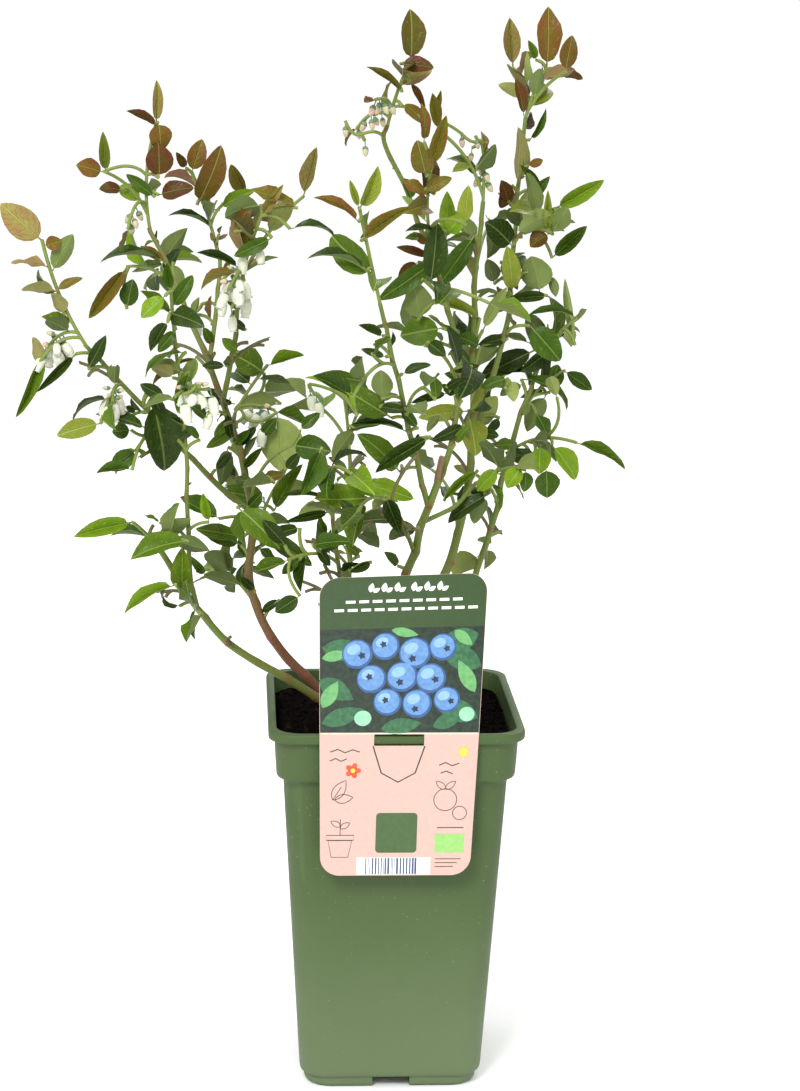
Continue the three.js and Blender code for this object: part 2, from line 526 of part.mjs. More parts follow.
// A hanging flower: a four-sided bell with its mouth down, its stalk and calyx drawn out to a cone.
function bellShape(at, axis, extra = 0) {
  const radius = BELL_RADIUS + extra;
  const end = STALK_LENGTH + BELL_LENGTH;
  const profile = [[0, 0], [radius, STALK_LENGTH + 3], [0.62 * radius, end], [0, end]]
    .map(([wide, along]) => new THREE.Vector2(wide, along));
  const bell = new THREE.LatheGeometry(profile, BELL_SIDES);
  return bell.applyMatrix4(frameOf(axis, UP)).translate(at.x, at.y, at.z);
}

// A twig sets out half along its parent and half towards its tip.
function twigCurve(start, heading, tip) {
  const span = new THREE.Vector3().subVectors(tip, start);
  const reach = span.length();
  const bend = span.normalize().add(heading).normalize();
  return new THREE.QuadraticBezierCurve3(start, start.clone().addScaledVector(bend, 0.5 * reach), tip);
}

// A leaf turns its face up and out of the bush, give or take a seeded roll.
function facingAt(point, axis, roll) {
  const out = new THREE.Vector3(point.x, point.y, 0).normalize().applyAxisAngle(UP, 2 * roll);
  return out.multiplyScalar(0.8).addScaledVector(UP, 0.5).applyAxisAngle(axis, roll);
}

// The leaves of one twig stand round it in a spiral, and the last one carries the twig on to "end".
function leavesAlong(curve, twig, draw, add) {
  const first = draw() * 2 * Math.PI;
  for (let i = 0; i < twig.leaves; i += 1) {
    const last = i === twig.leaves - 1;
    const share = last ? 0.99 : 0.2 + (0.74 * (i + 0.4 * draw())) / twig.leaves;
    const turn = first + i * SPIRAL + 0.5 * (draw() - 0.5);
    const lean = last ? 0.12 : LEAN_LEAST + LEAN_SPREAD * draw();
    const grown = twig.leaf * (0.78 + 0.34 * draw()) * (last ? 1 : 0.8 + 0.25 * Math.sin(Math.PI * share));
    const roll = 1.2 * (draw() - 0.5);
    const point = curve.getPoint(share);
    const along = curve.getTangent(share);
    const aside = new THREE.Vector3(Math.cos(turn), 0, Math.sin(turn)).applyMatrix4(frameOf(along, UP));
    const axis = along.multiplyScalar(Math.cos(lean)).addScaledVector(aside, Math.sin(lean)).normalize();
    if (last && twig.end) {
      const reach = vector(twig.end).sub(point);
      add(point, reach.clone().normalize(), LIGHT, reach.length());
    } else {
      add(point, axis, facingAt(point, axis, roll), grown * LEAF_LIFE);
    }
  }
}

function bellsAlong(curve, count, draw, add) {
  for (let i = 0; i < count; i += 1) {
    const share = 0.5 + (0.5 * (i + 0.5)) / count;
    const turn = i * SPIRAL + draw();
    const spread = 0.35 + 0.5 * draw();
    const axis = new THREE.Vector3(Math.cos(turn) * spread, Math.sin(turn) * spread, -1).normalize();
    add(curve.getPoint(share), axis);
  }
}

function rodOf(curve, root, tip, extra = 0) {
  return bendRod(curve, taper(root + extra, tip + extra), TWIG_SIDES, TWIG_STEPS);
}

// A stem that carries a limb on is cut flat at its tip, and one that stands out is cut round its side.
function growStem(spec) {
  const limb = limbs.get(spec.limb);
  const heading = limb.curve.getTangentAt(spec.at);
  const seat = limb.curve.getPointAt(spec.at);
  const carriesOn = spec.at === 1;
  const start = carriesOn ? seat.clone().addScaledVector(heading, -TWIG_ROOT_RADIUS) : seat;
  const curve = twigCurve(start, heading, vector(spec.twigs[0].tip));
  const rod = solidOf(rodOf(curve, TWIG_ROOT_RADIUS, TWIG_TIP_RADIUS));
  const solid = carriesOn
    ? rod.trimByPlane(heading.toArray(), heading.dot(seat) + GAP)
    : rod.subtract(solidOf(limb.grown(GAP)));
  const guard = rodOf(curve, TWIG_ROOT_RADIUS, TWIG_TIP_RADIUS, CLEAR);
  placed.push({ owner: spec.name, isTwig: true, shape: facesOf(guard) });
  return { curve, solid, firstFork: carriesOn ? FORK_AT_TIP : FORK_AT_SIDE };
}

function growMass(spec, stem) {
  const draw = seededBy(spec.name);
  const solids = [stem.solid];
  const keep = (isTwig, geometry, guard) => {
    const shape = facesOf(guard);
    if (!isFree(shape, spec.name, isTwig)) return false;
    solids.push(solidOf(geometry));
    placed.push({ owner: spec.name, isTwig, shape });
    return true;
  };
  const keepTwig = (curve, root, tip) => keep(
    true,
    rodOf(curve, root, tip),
    rodOf(curve, root, tip, CLEAR),
  );
  const addLeaf = (at, axis, facing, size) => keep(
    false,
    leafShape(at, axis, facing, size),
    leafShape(at, axis, facing, size, CLEAR),
  );
  const addBell = (at, axis) => keep(false, bellShape(at, axis), bellShape(at, axis, CLEAR));
  const dress = (curve, twig) => {
    leavesAlong(curve, twig, draw, addLeaf);
    bellsAlong(curve, twig.bells ?? 0, draw, addBell);
  };

  const [first, ...others] = spec.twigs;
  dress(stem.curve, first);
  others.forEach((twig, i) => {
    const fork = stem.firstFork + FORK_STEP * i;
    const curve = twigCurve(stem.curve.getPoint(fork), stem.curve.getTangent(fork), vector(twig.tip));
    if (keepTwig(curve, TWIG_ROOT_RADIUS * 0.9, TWIG_TIP_RADIUS)) dress(curve, twig);
  });
  for (let i = 0; i < (spec.sprigs ?? 0); i += 1) {
    const fork = 0.4 + 0.2 * draw();
    const from = stem.curve.getPoint(fork);
    const along = stem.curve.getTangent(fork);
    const turn = draw() * 2 * Math.PI;
    const out = new THREE.Vector3(Math.cos(turn), 0.5, Math.sin(turn)).applyMatrix4(frameOf(along, UP));
    const tip = from.clone().addScaledVector(out.normalize(), SPRIG_LEAST + SPRIG_SPREAD * draw());
    const curve = twigCurve(from, along, tip);
    if (keepTwig(curve, TWIG_TIP_RADIUS, TWIG_TIP_RADIUS * 0.9)) {
      dress(curve, { leaves: 3, leaf: first.leaf * 0.85 });
    }
  }
  return mainBody(wasm.Manifold.union(solids));
}

// ---------------------------------------------------------------- the whole plant in its pot
const plant = new THREE.Group();
const finish = (color, roughness) => new THREE.MeshStandardMaterial({ color, roughness, metalness: 0 });

function addPiece(name, geometry, material) {
  const piece = new THREE.Mesh(geometry, material);
  piece.name = name;
  plant.add(piece);
}

addPiece('pot', pot(), finish(0x667f53, 0.5));
addPiece('soil', soil(), finish(0x17110d, 0.95));
addPiece('label_card', labelCard(), finish(0xf5ded0, 0.4));
for (const name of ['pot', 'soil', 'label_card']) {
  placed.push({ owner: name, shape: facesOf(plant.getObjectByName(name).geometry) });
}
for (const spec of LIMBS) {
  const bark = OLD_CANES.includes(spec.name) ? 0x7a5238 : 0x6f8040;
  addPiece(spec.name, geometryOf(growLimb(spec).solid), finish(bark, 0.6));
}
const stems = new Map(MASSES.map((spec) => [spec.name, growStem(spec)]));
for (const spec of MASSES) {
  const isBronze = spec.name.includes('top');
  const mass = growMass(spec, stems.get(spec.name));
  addPiece(spec.name, geometryOf(mass), finish(isBronze ? 0x7a6a35 : 0x4f7a2a, 0.45));
}

export default plant;
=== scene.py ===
"""A young highbush blueberry in a tall square nursery pot, with a plant label hung on the rim.

Lengths are millimetres, apart from places on the front elevation, which are in its own units, and
every piece is made in metres, in the part's own frame: +Z up, the label on the -Y side, the origin
under the middle of the pot.
"""

import logging
import math
from dataclasses import dataclass, field
from enum import Enum
from typing import Callable, Iterable, Sequence

import bmesh
import bpy
import numpy as np
from mathutils import Matrix, Quaternion, Vector
from mathutils.bvhtree import BVHTree
from mathutils.geometry import tessellate_polygon


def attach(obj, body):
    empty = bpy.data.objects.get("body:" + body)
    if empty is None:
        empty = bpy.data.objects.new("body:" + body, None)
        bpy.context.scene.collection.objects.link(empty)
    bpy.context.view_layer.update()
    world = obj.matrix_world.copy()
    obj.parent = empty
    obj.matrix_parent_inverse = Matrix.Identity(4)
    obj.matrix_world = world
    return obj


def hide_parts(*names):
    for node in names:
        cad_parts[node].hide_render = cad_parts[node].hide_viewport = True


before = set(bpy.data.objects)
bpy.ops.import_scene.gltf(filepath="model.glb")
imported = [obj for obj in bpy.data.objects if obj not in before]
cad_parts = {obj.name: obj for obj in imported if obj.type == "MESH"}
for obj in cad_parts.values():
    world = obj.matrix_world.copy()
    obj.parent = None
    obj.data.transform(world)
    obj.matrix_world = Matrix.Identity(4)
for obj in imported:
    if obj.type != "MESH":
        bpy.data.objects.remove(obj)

log = logging.getLogger("blueberry")
MM = 0.001
UP = Vector((0, 0, 1))
LIGHT = Vector((0.1, -0.9, 0.4))  # where the outermost leaves turn their faces
ACROSS = Vector((0.31, -0.87, 0.38))  # the first direction across every line, off all the axes
SPIRAL = math.radians(137.5)
SHEET = (800, 1091)  # the front elevation's width and height, in its own units
SHEET_SCALE = 1.8  # those units to the millimetre, about the middle of the bush
FILM = 36  # the longer side of the camera's film

Colour = tuple[float, float, float]
Faces = list[tuple[int, ...]]
Body = tuple[list[Vector], Faces]
Paint = tuple[int, int, int]  # a colour as on a paint chart, from 0 to 255
Socket = float | Colour | bpy.types.NodeSocket


def srgb(red: int, green: int, blue: int) -> Colour:
    """A colour given as on a paint chart, from 0 to 255, in linear light."""
    return tuple(
        v / 12.92 if v <= 0.04045 else ((v + 0.055) / 1.055) ** 2.4
        for v in (red / 255, green / 255, blue / 255)
    )


# ---------------------------------------------------------------- sizes of the bush
class Tone(Enum):
    """How far the young leaves of a mass have turned from green."""

    GREEN = "green"
    FRESH = "fresh"
    BRONZE = "bronze"
    RED = "red"


class Tint(Enum):
    """A leaf's colour, dealt out by spray."""

    DARK = "dark"
    DEEP = "deep"
    MID = "mid"
    LIGHT = "light"
    YELLOW = "yellow"
    OLIVE = "olive"
    COPPER = "copper"
    BRONZE = "bronze"
    RED = "red"

    def is_turned(self) -> bool:
        """Whether the leaf has turned from green."""
        return self in (Tint.OLIVE, Tint.COPPER, Tint.BRONZE, Tint.RED)


@dataclass(frozen=True)
class Limb:
    """A cane from the compost, or a bough from the share "at" of another limb."""

    name: str
    root: float
    tip: float
    path: tuple[tuple[float, ...], ...]
    source: str = ""
    at: float = 0.0


@dataclass(frozen=True)
class Twig:
    """A twig of a mass: where it ends, its leaves and, on a flowering twig, its bells."""

    tip: tuple[float, float, float]
    leaves: int
    leaf: float
    bells: int = 0
    end: tuple[float, float, float] | None = None
    wide: float = 0.0  # the last leaf's width for its length, where it isn't left to chance
    tint: Tint | None = None


@dataclass(frozen=True)
class Mass:
    """A mass of foliage on one stem, which starts on a limb."""

    name: str
    limb: str
    at: float
    twigs: tuple[Twig, ...]
    sprigs: int = 0
    tone: Tone = Tone.GREEN


LIMBS = (
    Limb("cane_arching_left", 2.9, 1.7, ((-22, -6), (-43, -8, 217), (-97, -18, 255), (-130, -30, 307))),
    Limb("cane_main_left", 3.1, 1.3, ((-30, 4), (-61, 6, 238), (-79, 11, 272), (-79, 16, 318),
                                      (-91, 20, 367), (-121, 30, 442), (-136, 36, 473))),
    Limb("cane_front_right", 3.2, 2.2, ((-11, -4), (-3, -10, 250), (10, -18, 302), (22, -28, 345))),
    Limb("cane_tall_right", 3.3, 1.4, ((1, 6), (13, 10, 240), (37, 20, 302), (45, 32, 355),
                                       (46, 44, 440), (50, 48, 488))),
    Limb("cane_outer_right", 2.3, 1.4, ((13, 16), (37, 30, 251), (57, 43, 297), (70, 60, 346),
                                        (88, 80, 393))),
    Limb("cane_young_front", 1.7, 1.2, ((-17, -14), (-31, -34, 290), (-38, -50, 348))),
    Limb("cane_young_back", 1.7, 1.2, ((-12, 14), (-22, 44, 265), (-22, 74, 339))),
    Limb("bough_far_left", 1.9, 1.2, ((-101, 2, 338), (-127, -16, 370), (-168, -36, 418)),
         "cane_main_left", 0.45),
    Limb("bough_slim_left", 1.5, 1.0, ((-113, -25, 296), (-115, -34, 367), (-121, -40, 429)),
         "cane_arching_left", 0.73),
    Limb("bough_upper_left", 1.5, 1.1, ((-101, 33, 412), (-97, 50, 448), (-101, 60, 468)),
         "cane_main_left", 0.73),
    Limb("bough_inner_left", 1.7, 1.2, ((-90, 14, 405), (-87, 4, 433), (-86, -4, 446)),
         "cane_main_left", 0.66),
    Limb("bough_centre", 1.8, 1.2, ((8, -36, 362), (-4, -54, 410), (-13, -64, 445)),
         "cane_front_right", 0.88),
    Limb("bough_top_centre", 1.9, 1.3, ((28, -18, 356), (34, -8, 400), (25, 0, 443), (6, 4, 493),
                                        (-8, 0, 523), (-7, -2, 533)), "cane_front_right", 0.93),
    Limb("bough_low_right", 1.5, 1.1, ((33, -14, 327), (45, -4, 338)), "cane_front_right", 0.82),
    Limb("bough_low_centre", 1.4, 1.0, ((2, -36, 323), (-8, -50, 338)), "cane_front_right", 0.7),
    Limb("bough_top_right", 1.9, 1.2, ((52, 44, 372), (66, 60, 416), (70, 70, 462), (73, 76, 501),
                                       (76, 80, 533)), "cane_tall_right", 0.53),
)

T = Twig
MASSES = (
    Mass("leaves_far_left_top", "bough_far_left", 1, (
        T((-189, -50, 475), 7, 24, end=(-210, -54, 494), wide=0.56, tint=Tint.COPPER),
        T((-189, -34, 414), 4, 27, 5, (-205, -38, 379), wide=0.17, tint=Tint.MID)), tone=Tone.BRONZE),
    Mass("leaves_far_left_low", "bough_far_left", 0.78, (
        T((-153, -48, 389), 3, 22, 5),
        T((-159, -56, 379), 4, 25, end=(-182, -60, 373), wide=0.46, tint=Tint.YELLOW)), tone=Tone.FRESH),
    Mass("leaves_left_side", "bough_far_left", 0.54, (
        T((-143, -44, 352), 5, 25, end=(-162, -50, 351), wide=0.34, tint=Tint.DEEP),
        T((-136, -38, 378), 3, 28))),
    Mass("leaves_low_left", "cane_arching_left", 1, (
        T((-143, -46, 324), 5, 27, end=(-174, -52, 317), wide=0.3, tint=Tint.LIGHT),
        T((-113, -44, 313), 5, 28, end=(-144, -50, 304), wide=0.44, tint=Tint.MID))),
    Mass("leaves_low_left_under", "cane_arching_left", 0.68, (
        T((-120, -56, 292), 5, 26, end=(-147, -62, 277), wide=0.26, tint=Tint.LIGHT),
        T((-100, -60, 270), 5, 26)), 1),
    Mass("leaves_top_left", "cane_main_left", 1, (
        T((-132, 45, 530), 6, 27, end=(-132, 48, 553), wide=0.26, tint=Tint.COPPER),
        T((-159, 15, 505), 6, 21, end=(-160, 14, 527), wide=0.28, tint=Tint.YELLOW),
        T((-147, 18, 474), 1, 18, 5)), tone=Tone.RED),
    Mass("leaves_upper_left", "cane_main_left", 0.88, (
        T((-149, 56, 449), 6, 28, end=(-171, 60, 419), wide=0.24, tint=Tint.OLIVE),
        T((-121, 72, 452), 6, 25),
        T((-140, 66, 424), 4, 27)), tone=Tone.FRESH),
    Mass("leaves_top_inner_left", "bough_upper_left", 1, (
        T((-113, 60, 502), 6, 29, end=(-107, 62, 520), wide=0.56, tint=Tint.BRONZE),
        T((-82, 86, 486), 7, 27, end=(-91, 90, 504), wide=0.42, tint=Tint.OLIVE)), tone=Tone.RED),
    Mass("leaves_inner_left", "bough_inner_left", 1, (
        T((-74, -20, 487), 7, 27, end=(-63, -26, 503), wide=0.28, tint=Tint.COPPER),
        T((-51, 26, 492), 6, 27, end=(-44, 26, 519), wide=0.32, tint=Tint.COPPER),
        T((-92, -28, 447), 3, 22, 5)), tone=Tone.BRONZE),
    Mass("leaves_slim_left_top", "bough_slim_left", 1, (
        T((-122, -50, 449), 5, 20, end=(-124, -52, 464), wide=0.4, tint=Tint.DEEP),
        T((-123, -75, 436), 5, 24, end=(-132, -80, 421), wide=0.4, tint=Tint.DARK)), tone=Tone.FRESH),
    Mass("leaves_slim_left_mid", "bough_slim_left", 0.74, (
        T((-107, -62, 400), 3, 22, 5),
        T((-124, -70, 392), 5, 24))),
    Mass("leaves_mid_left", "cane_main_left", 0.61, (
        T((-73, 50, 379), 6, 30),
        T((-70, 54, 394), 5, 27, end=(-49, 58, 399), wide=0.36, tint=Tint.LIGHT),
        T((-66, 30, 372), 1, 25, 4))),
    Mass("leaves_centre_left", "cane_main_left", 0.47, (
        T((-57, -18, 361), 7, 28, end=(-36, -26, 359), wide=0.62, tint=Tint.DEEP),
        T((-64, -26, 336), 6, 28))),
    Mass("leaves_left_low", "cane_main_left", 0.4, (
        T((-87, -36, 330), 6, 27, end=(-64, -46, 309), wide=0.56, tint=Tint.MID),
        T((-106, -24, 318), 5, 27))),
    Mass("leaves_left_foot", "cane_main_left", 0.28, (
        T((-100, 48, 276), 6, 26),
        T((-74, 62, 286), 6, 26))),
    Mass("leaves_left_back", "cane_main_left", 0.36, (
        T((-62, 66, 326), 6, 28),
        T((-96, 60, 334), 5, 27))),
    Mass("leaves_young_front", "cane_young_front", 1, (
        T((-43, -70, 369), 6, 28, end=(-54, -82, 346), wide=0.44, tint=Tint.DEEP),
        T((-60, -76, 350), 5, 27),
        T((-27, -86, 358), 5, 28))),
    Mass("leaves_young_front_low", "cane_young_front", 0.68, (
        T((-60, -58, 306), 6, 25),
        T((-48, -74, 320), 5, 25))),
    Mass("leaves_young_back", "cane_young_back", 1, (
        T((-26, 62, 374), 7, 30),
        T((-46, 96, 368), 6, 29),
        T((-6, 112, 366), 6, 30))),
    Mass("leaves_young_back_low", "cane_young_back", 0.68, (
        T((-4, 88, 304), 6, 27),
        T((-34, 98, 300), 6, 27))),
    Mass("leaves_centre_top", "bough_centre", 1, (
        T((-25, -80, 496), 8, 31, end=(-16, -84, 518), wide=0.36, tint=Tint.YELLOW),), tone=Tone.FRESH),
    Mass("leaves_centre_upper", "bough_centre", 0.71, (
        T((-28, -86, 398), 6, 28, end=(-49, -94, 411), wide=0.4, tint=Tint.DEEP),
        T((-21, -84, 430), 5, 17)), tone=Tone.FRESH),
    Mass("leaves_centre", "bough_centre", 0.45, (
        T((10, -78, 403), 6, 28),
        T((18, -80, 378), 6, 30)), tone=Tone.FRESH),
    Mass("leaves_low_centre", "bough_low_centre", 1, (
        T((-24, -90, 340), 6, 30),
        T((10, -76, 348), 5, 28)), 1),
    Mass("leaves_mid_centre", "bough_top_centre", 0.28, (
        T((12, -44, 420), 6, 28),
        T((56, -44, 402), 6, 29)), tone=Tone.FRESH),
    Mass("leaves_high_centre", "bough_top_centre", 0.62, (
        T((15, -36, 515), 9, 26, end=(22, -38, 541), wide=0.3, tint=Tint.OLIVE),
        T((33, -40, 484), 5, 26, end=(34, -44, 505), wide=0.4, tint=Tint.YELLOW)), tone=Tone.BRONZE),
    Mass("leaves_upper_centre", "bough_top_centre", 0.49, (
        T((-2, -42, 458), 5, 34),
        T((47, -38, 442), 6, 29)), tone=Tone.FRESH),
    Mass("leaves_top_centre", "bough_top_centre", 1, (
        T((4, -18, 568), 6, 26, end=(3, -18, 595), wide=0.62, tint=Tint.OLIVE),
        T((-23, 10, 530), 1, 14, 4),
        T((-15, -28, 548), 1, 16, 5)), tone=Tone.BRONZE),
    Mass("leaves_top_tall_right", "cane_tall_right", 1, (
        T((50, 50, 514), 1, 15, 5),
        T((22, 28, 529), 8, 22, end=(19, 28, 549), wide=0.34, tint=Tint.OLIVE)), tone=Tone.BRONZE),
    Mass("leaves_back_right", "cane_tall_right", 0.87, (
        T((60, 98, 470), 7, 29),
        T((30, 88, 450), 6, 29)), tone=Tone.FRESH),
    Mass("leaves_mid_right", "cane_tall_right", 0.6, (
        T((60, -12, 392), 7, 31),
        T((42, -8, 404), 5, 28)), tone=Tone.FRESH),
    Mass("leaves_mid_back", "cane_tall_right", 0.68, (
        T((30, 86, 400), 7, 29),
        T((12, 66, 410), 6, 28))),
    Mass("leaves_low_back", "cane_tall_right", 0.37, (
        T((26, 74, 330), 6, 28),), 1),
    Mass("leaves_top_right", "bough_top_right", 1, (
        T((88, 84, 561), 8, 27, end=(88, 86, 595), wide=0.44, tint=Tint.BRONZE),
        T((96, 60, 560), 6, 22, end=(99, 60, 580), wide=0.5, tint=Tint.BRONZE),
        T((70, 100, 560), 6, 26, end=(68, 104, 588), wide=0.36, tint=Tint.COPPER)), tone=Tone.RED),
    Mass("leaves_upper_right", "bough_top_right", 0.63, (
        T((92, 56, 484), 7, 30, end=(119, 56, 500), wide=0.3, tint=Tint.LIGHT),
        T((98, 36, 462), 6, 30)), 1, Tone.FRESH),
    Mass("leaves_upper_right_back", "bough_top_right", 0.42, (
        T((70, 108, 440), 6, 28),)),
    Mass("leaves_right_tip", "cane_outer_right", 1, (
        T((100, 66, 415), 7, 30),
        T((106, 96, 412), 6, 28))),
    Mass("leaves_right_side", "cane_outer_right", 0.86, (
        T((104, 92, 386), 6, 28, end=(121, 96, 374), wide=0.42, tint=Tint.DEEP),
        T((112, 78, 372), 5, 28))),
    Mass("leaves_right_low", "cane_outer_right", 0.74, (
        T((106, 44, 352), 8, 26, end=(134, 40, 337), wide=0.22, tint=Tint.MID),
        T((92, 34, 370), 6, 27)), 1, Tone.FRESH),
    Mass("leaves_low_right", "bough_low_right", 1, (
        T((64, -22, 350), 6, 28),
        T((51, -28, 334), 5, 28))),
    Mass("leaves_right_foot", "cane_outer_right", 0.5, (
        T((58, 68, 284), 4, 30),
        T((78, 66, 300), 4, 27))),
)


@dataclass(frozen=True)
class Clothing:
    """A stretch of a limb that small leaves stand along."""

    limb: str
    low: float
    high: float
    step: float
    leaf: float
    tone: Tone = Tone.GREEN


CLOTHING = (
    Clothing("bough_top_right", 0.36, 0.97, 16, 18, Tone.BRONZE),
    Clothing("bough_top_centre", 0.2, 0.9, 36, 15, Tone.FRESH),
    Clothing("bough_centre", 0.3, 0.95, 30, 13, Tone.FRESH),
    Clothing("bough_far_left", 0.3, 0.97, 28, 13),
    Clothing("bough_slim_left", 0.25, 0.95, 26, 13),
    Clothing("bough_upper_left", 0.3, 0.95, 24, 14, Tone.BRONZE),
    Clothing("bough_inner_left", 0.3, 0.95, 20, 14),
    Clothing("cane_main_left", 0.42, 0.97, 26, 14),
    Clothing("cane_tall_right", 0.5, 0.9, 30, 15),
    Clothing("cane_outer_right", 0.6, 0.97, 26, 14, Tone.FRESH),
    Clothing("cane_young_front", 0.5, 0.95, 20, 15),
    Clothing("cane_young_back", 0.5, 0.95, 20, 15),
)

# Limbs that thin bare twigs grow on: from and to which share of their length, and how many.
WISPS = (
    ("cane_main_left", 0.25, 0.8, 6), ("cane_arching_left", 0.5, 0.95, 3), ("cane_young_front", 0.45, 1, 6),
    ("cane_young_back", 0.4, 1, 6), ("cane_tall_right", 0.4, 0.9, 3), ("cane_outer_right", 0.5, 0.95, 2),
    ("bough_low_centre", 0.1, 1, 4), ("bough_far_left", 0.2, 0.9, 2), ("bough_inner_left", 0.1, 1, 2),
)

# Masses that carry finer leaves beside the rule's own.
FULL_MASSES = frozenset({
    "leaves_left_foot", "leaves_centre_left", "leaves_left_side", "leaves_slim_left_mid",
    "leaves_upper_right_back", "leaves_young_back", "leaves_mid_back", "leaves_back_right",
    "leaves_left_back",
})

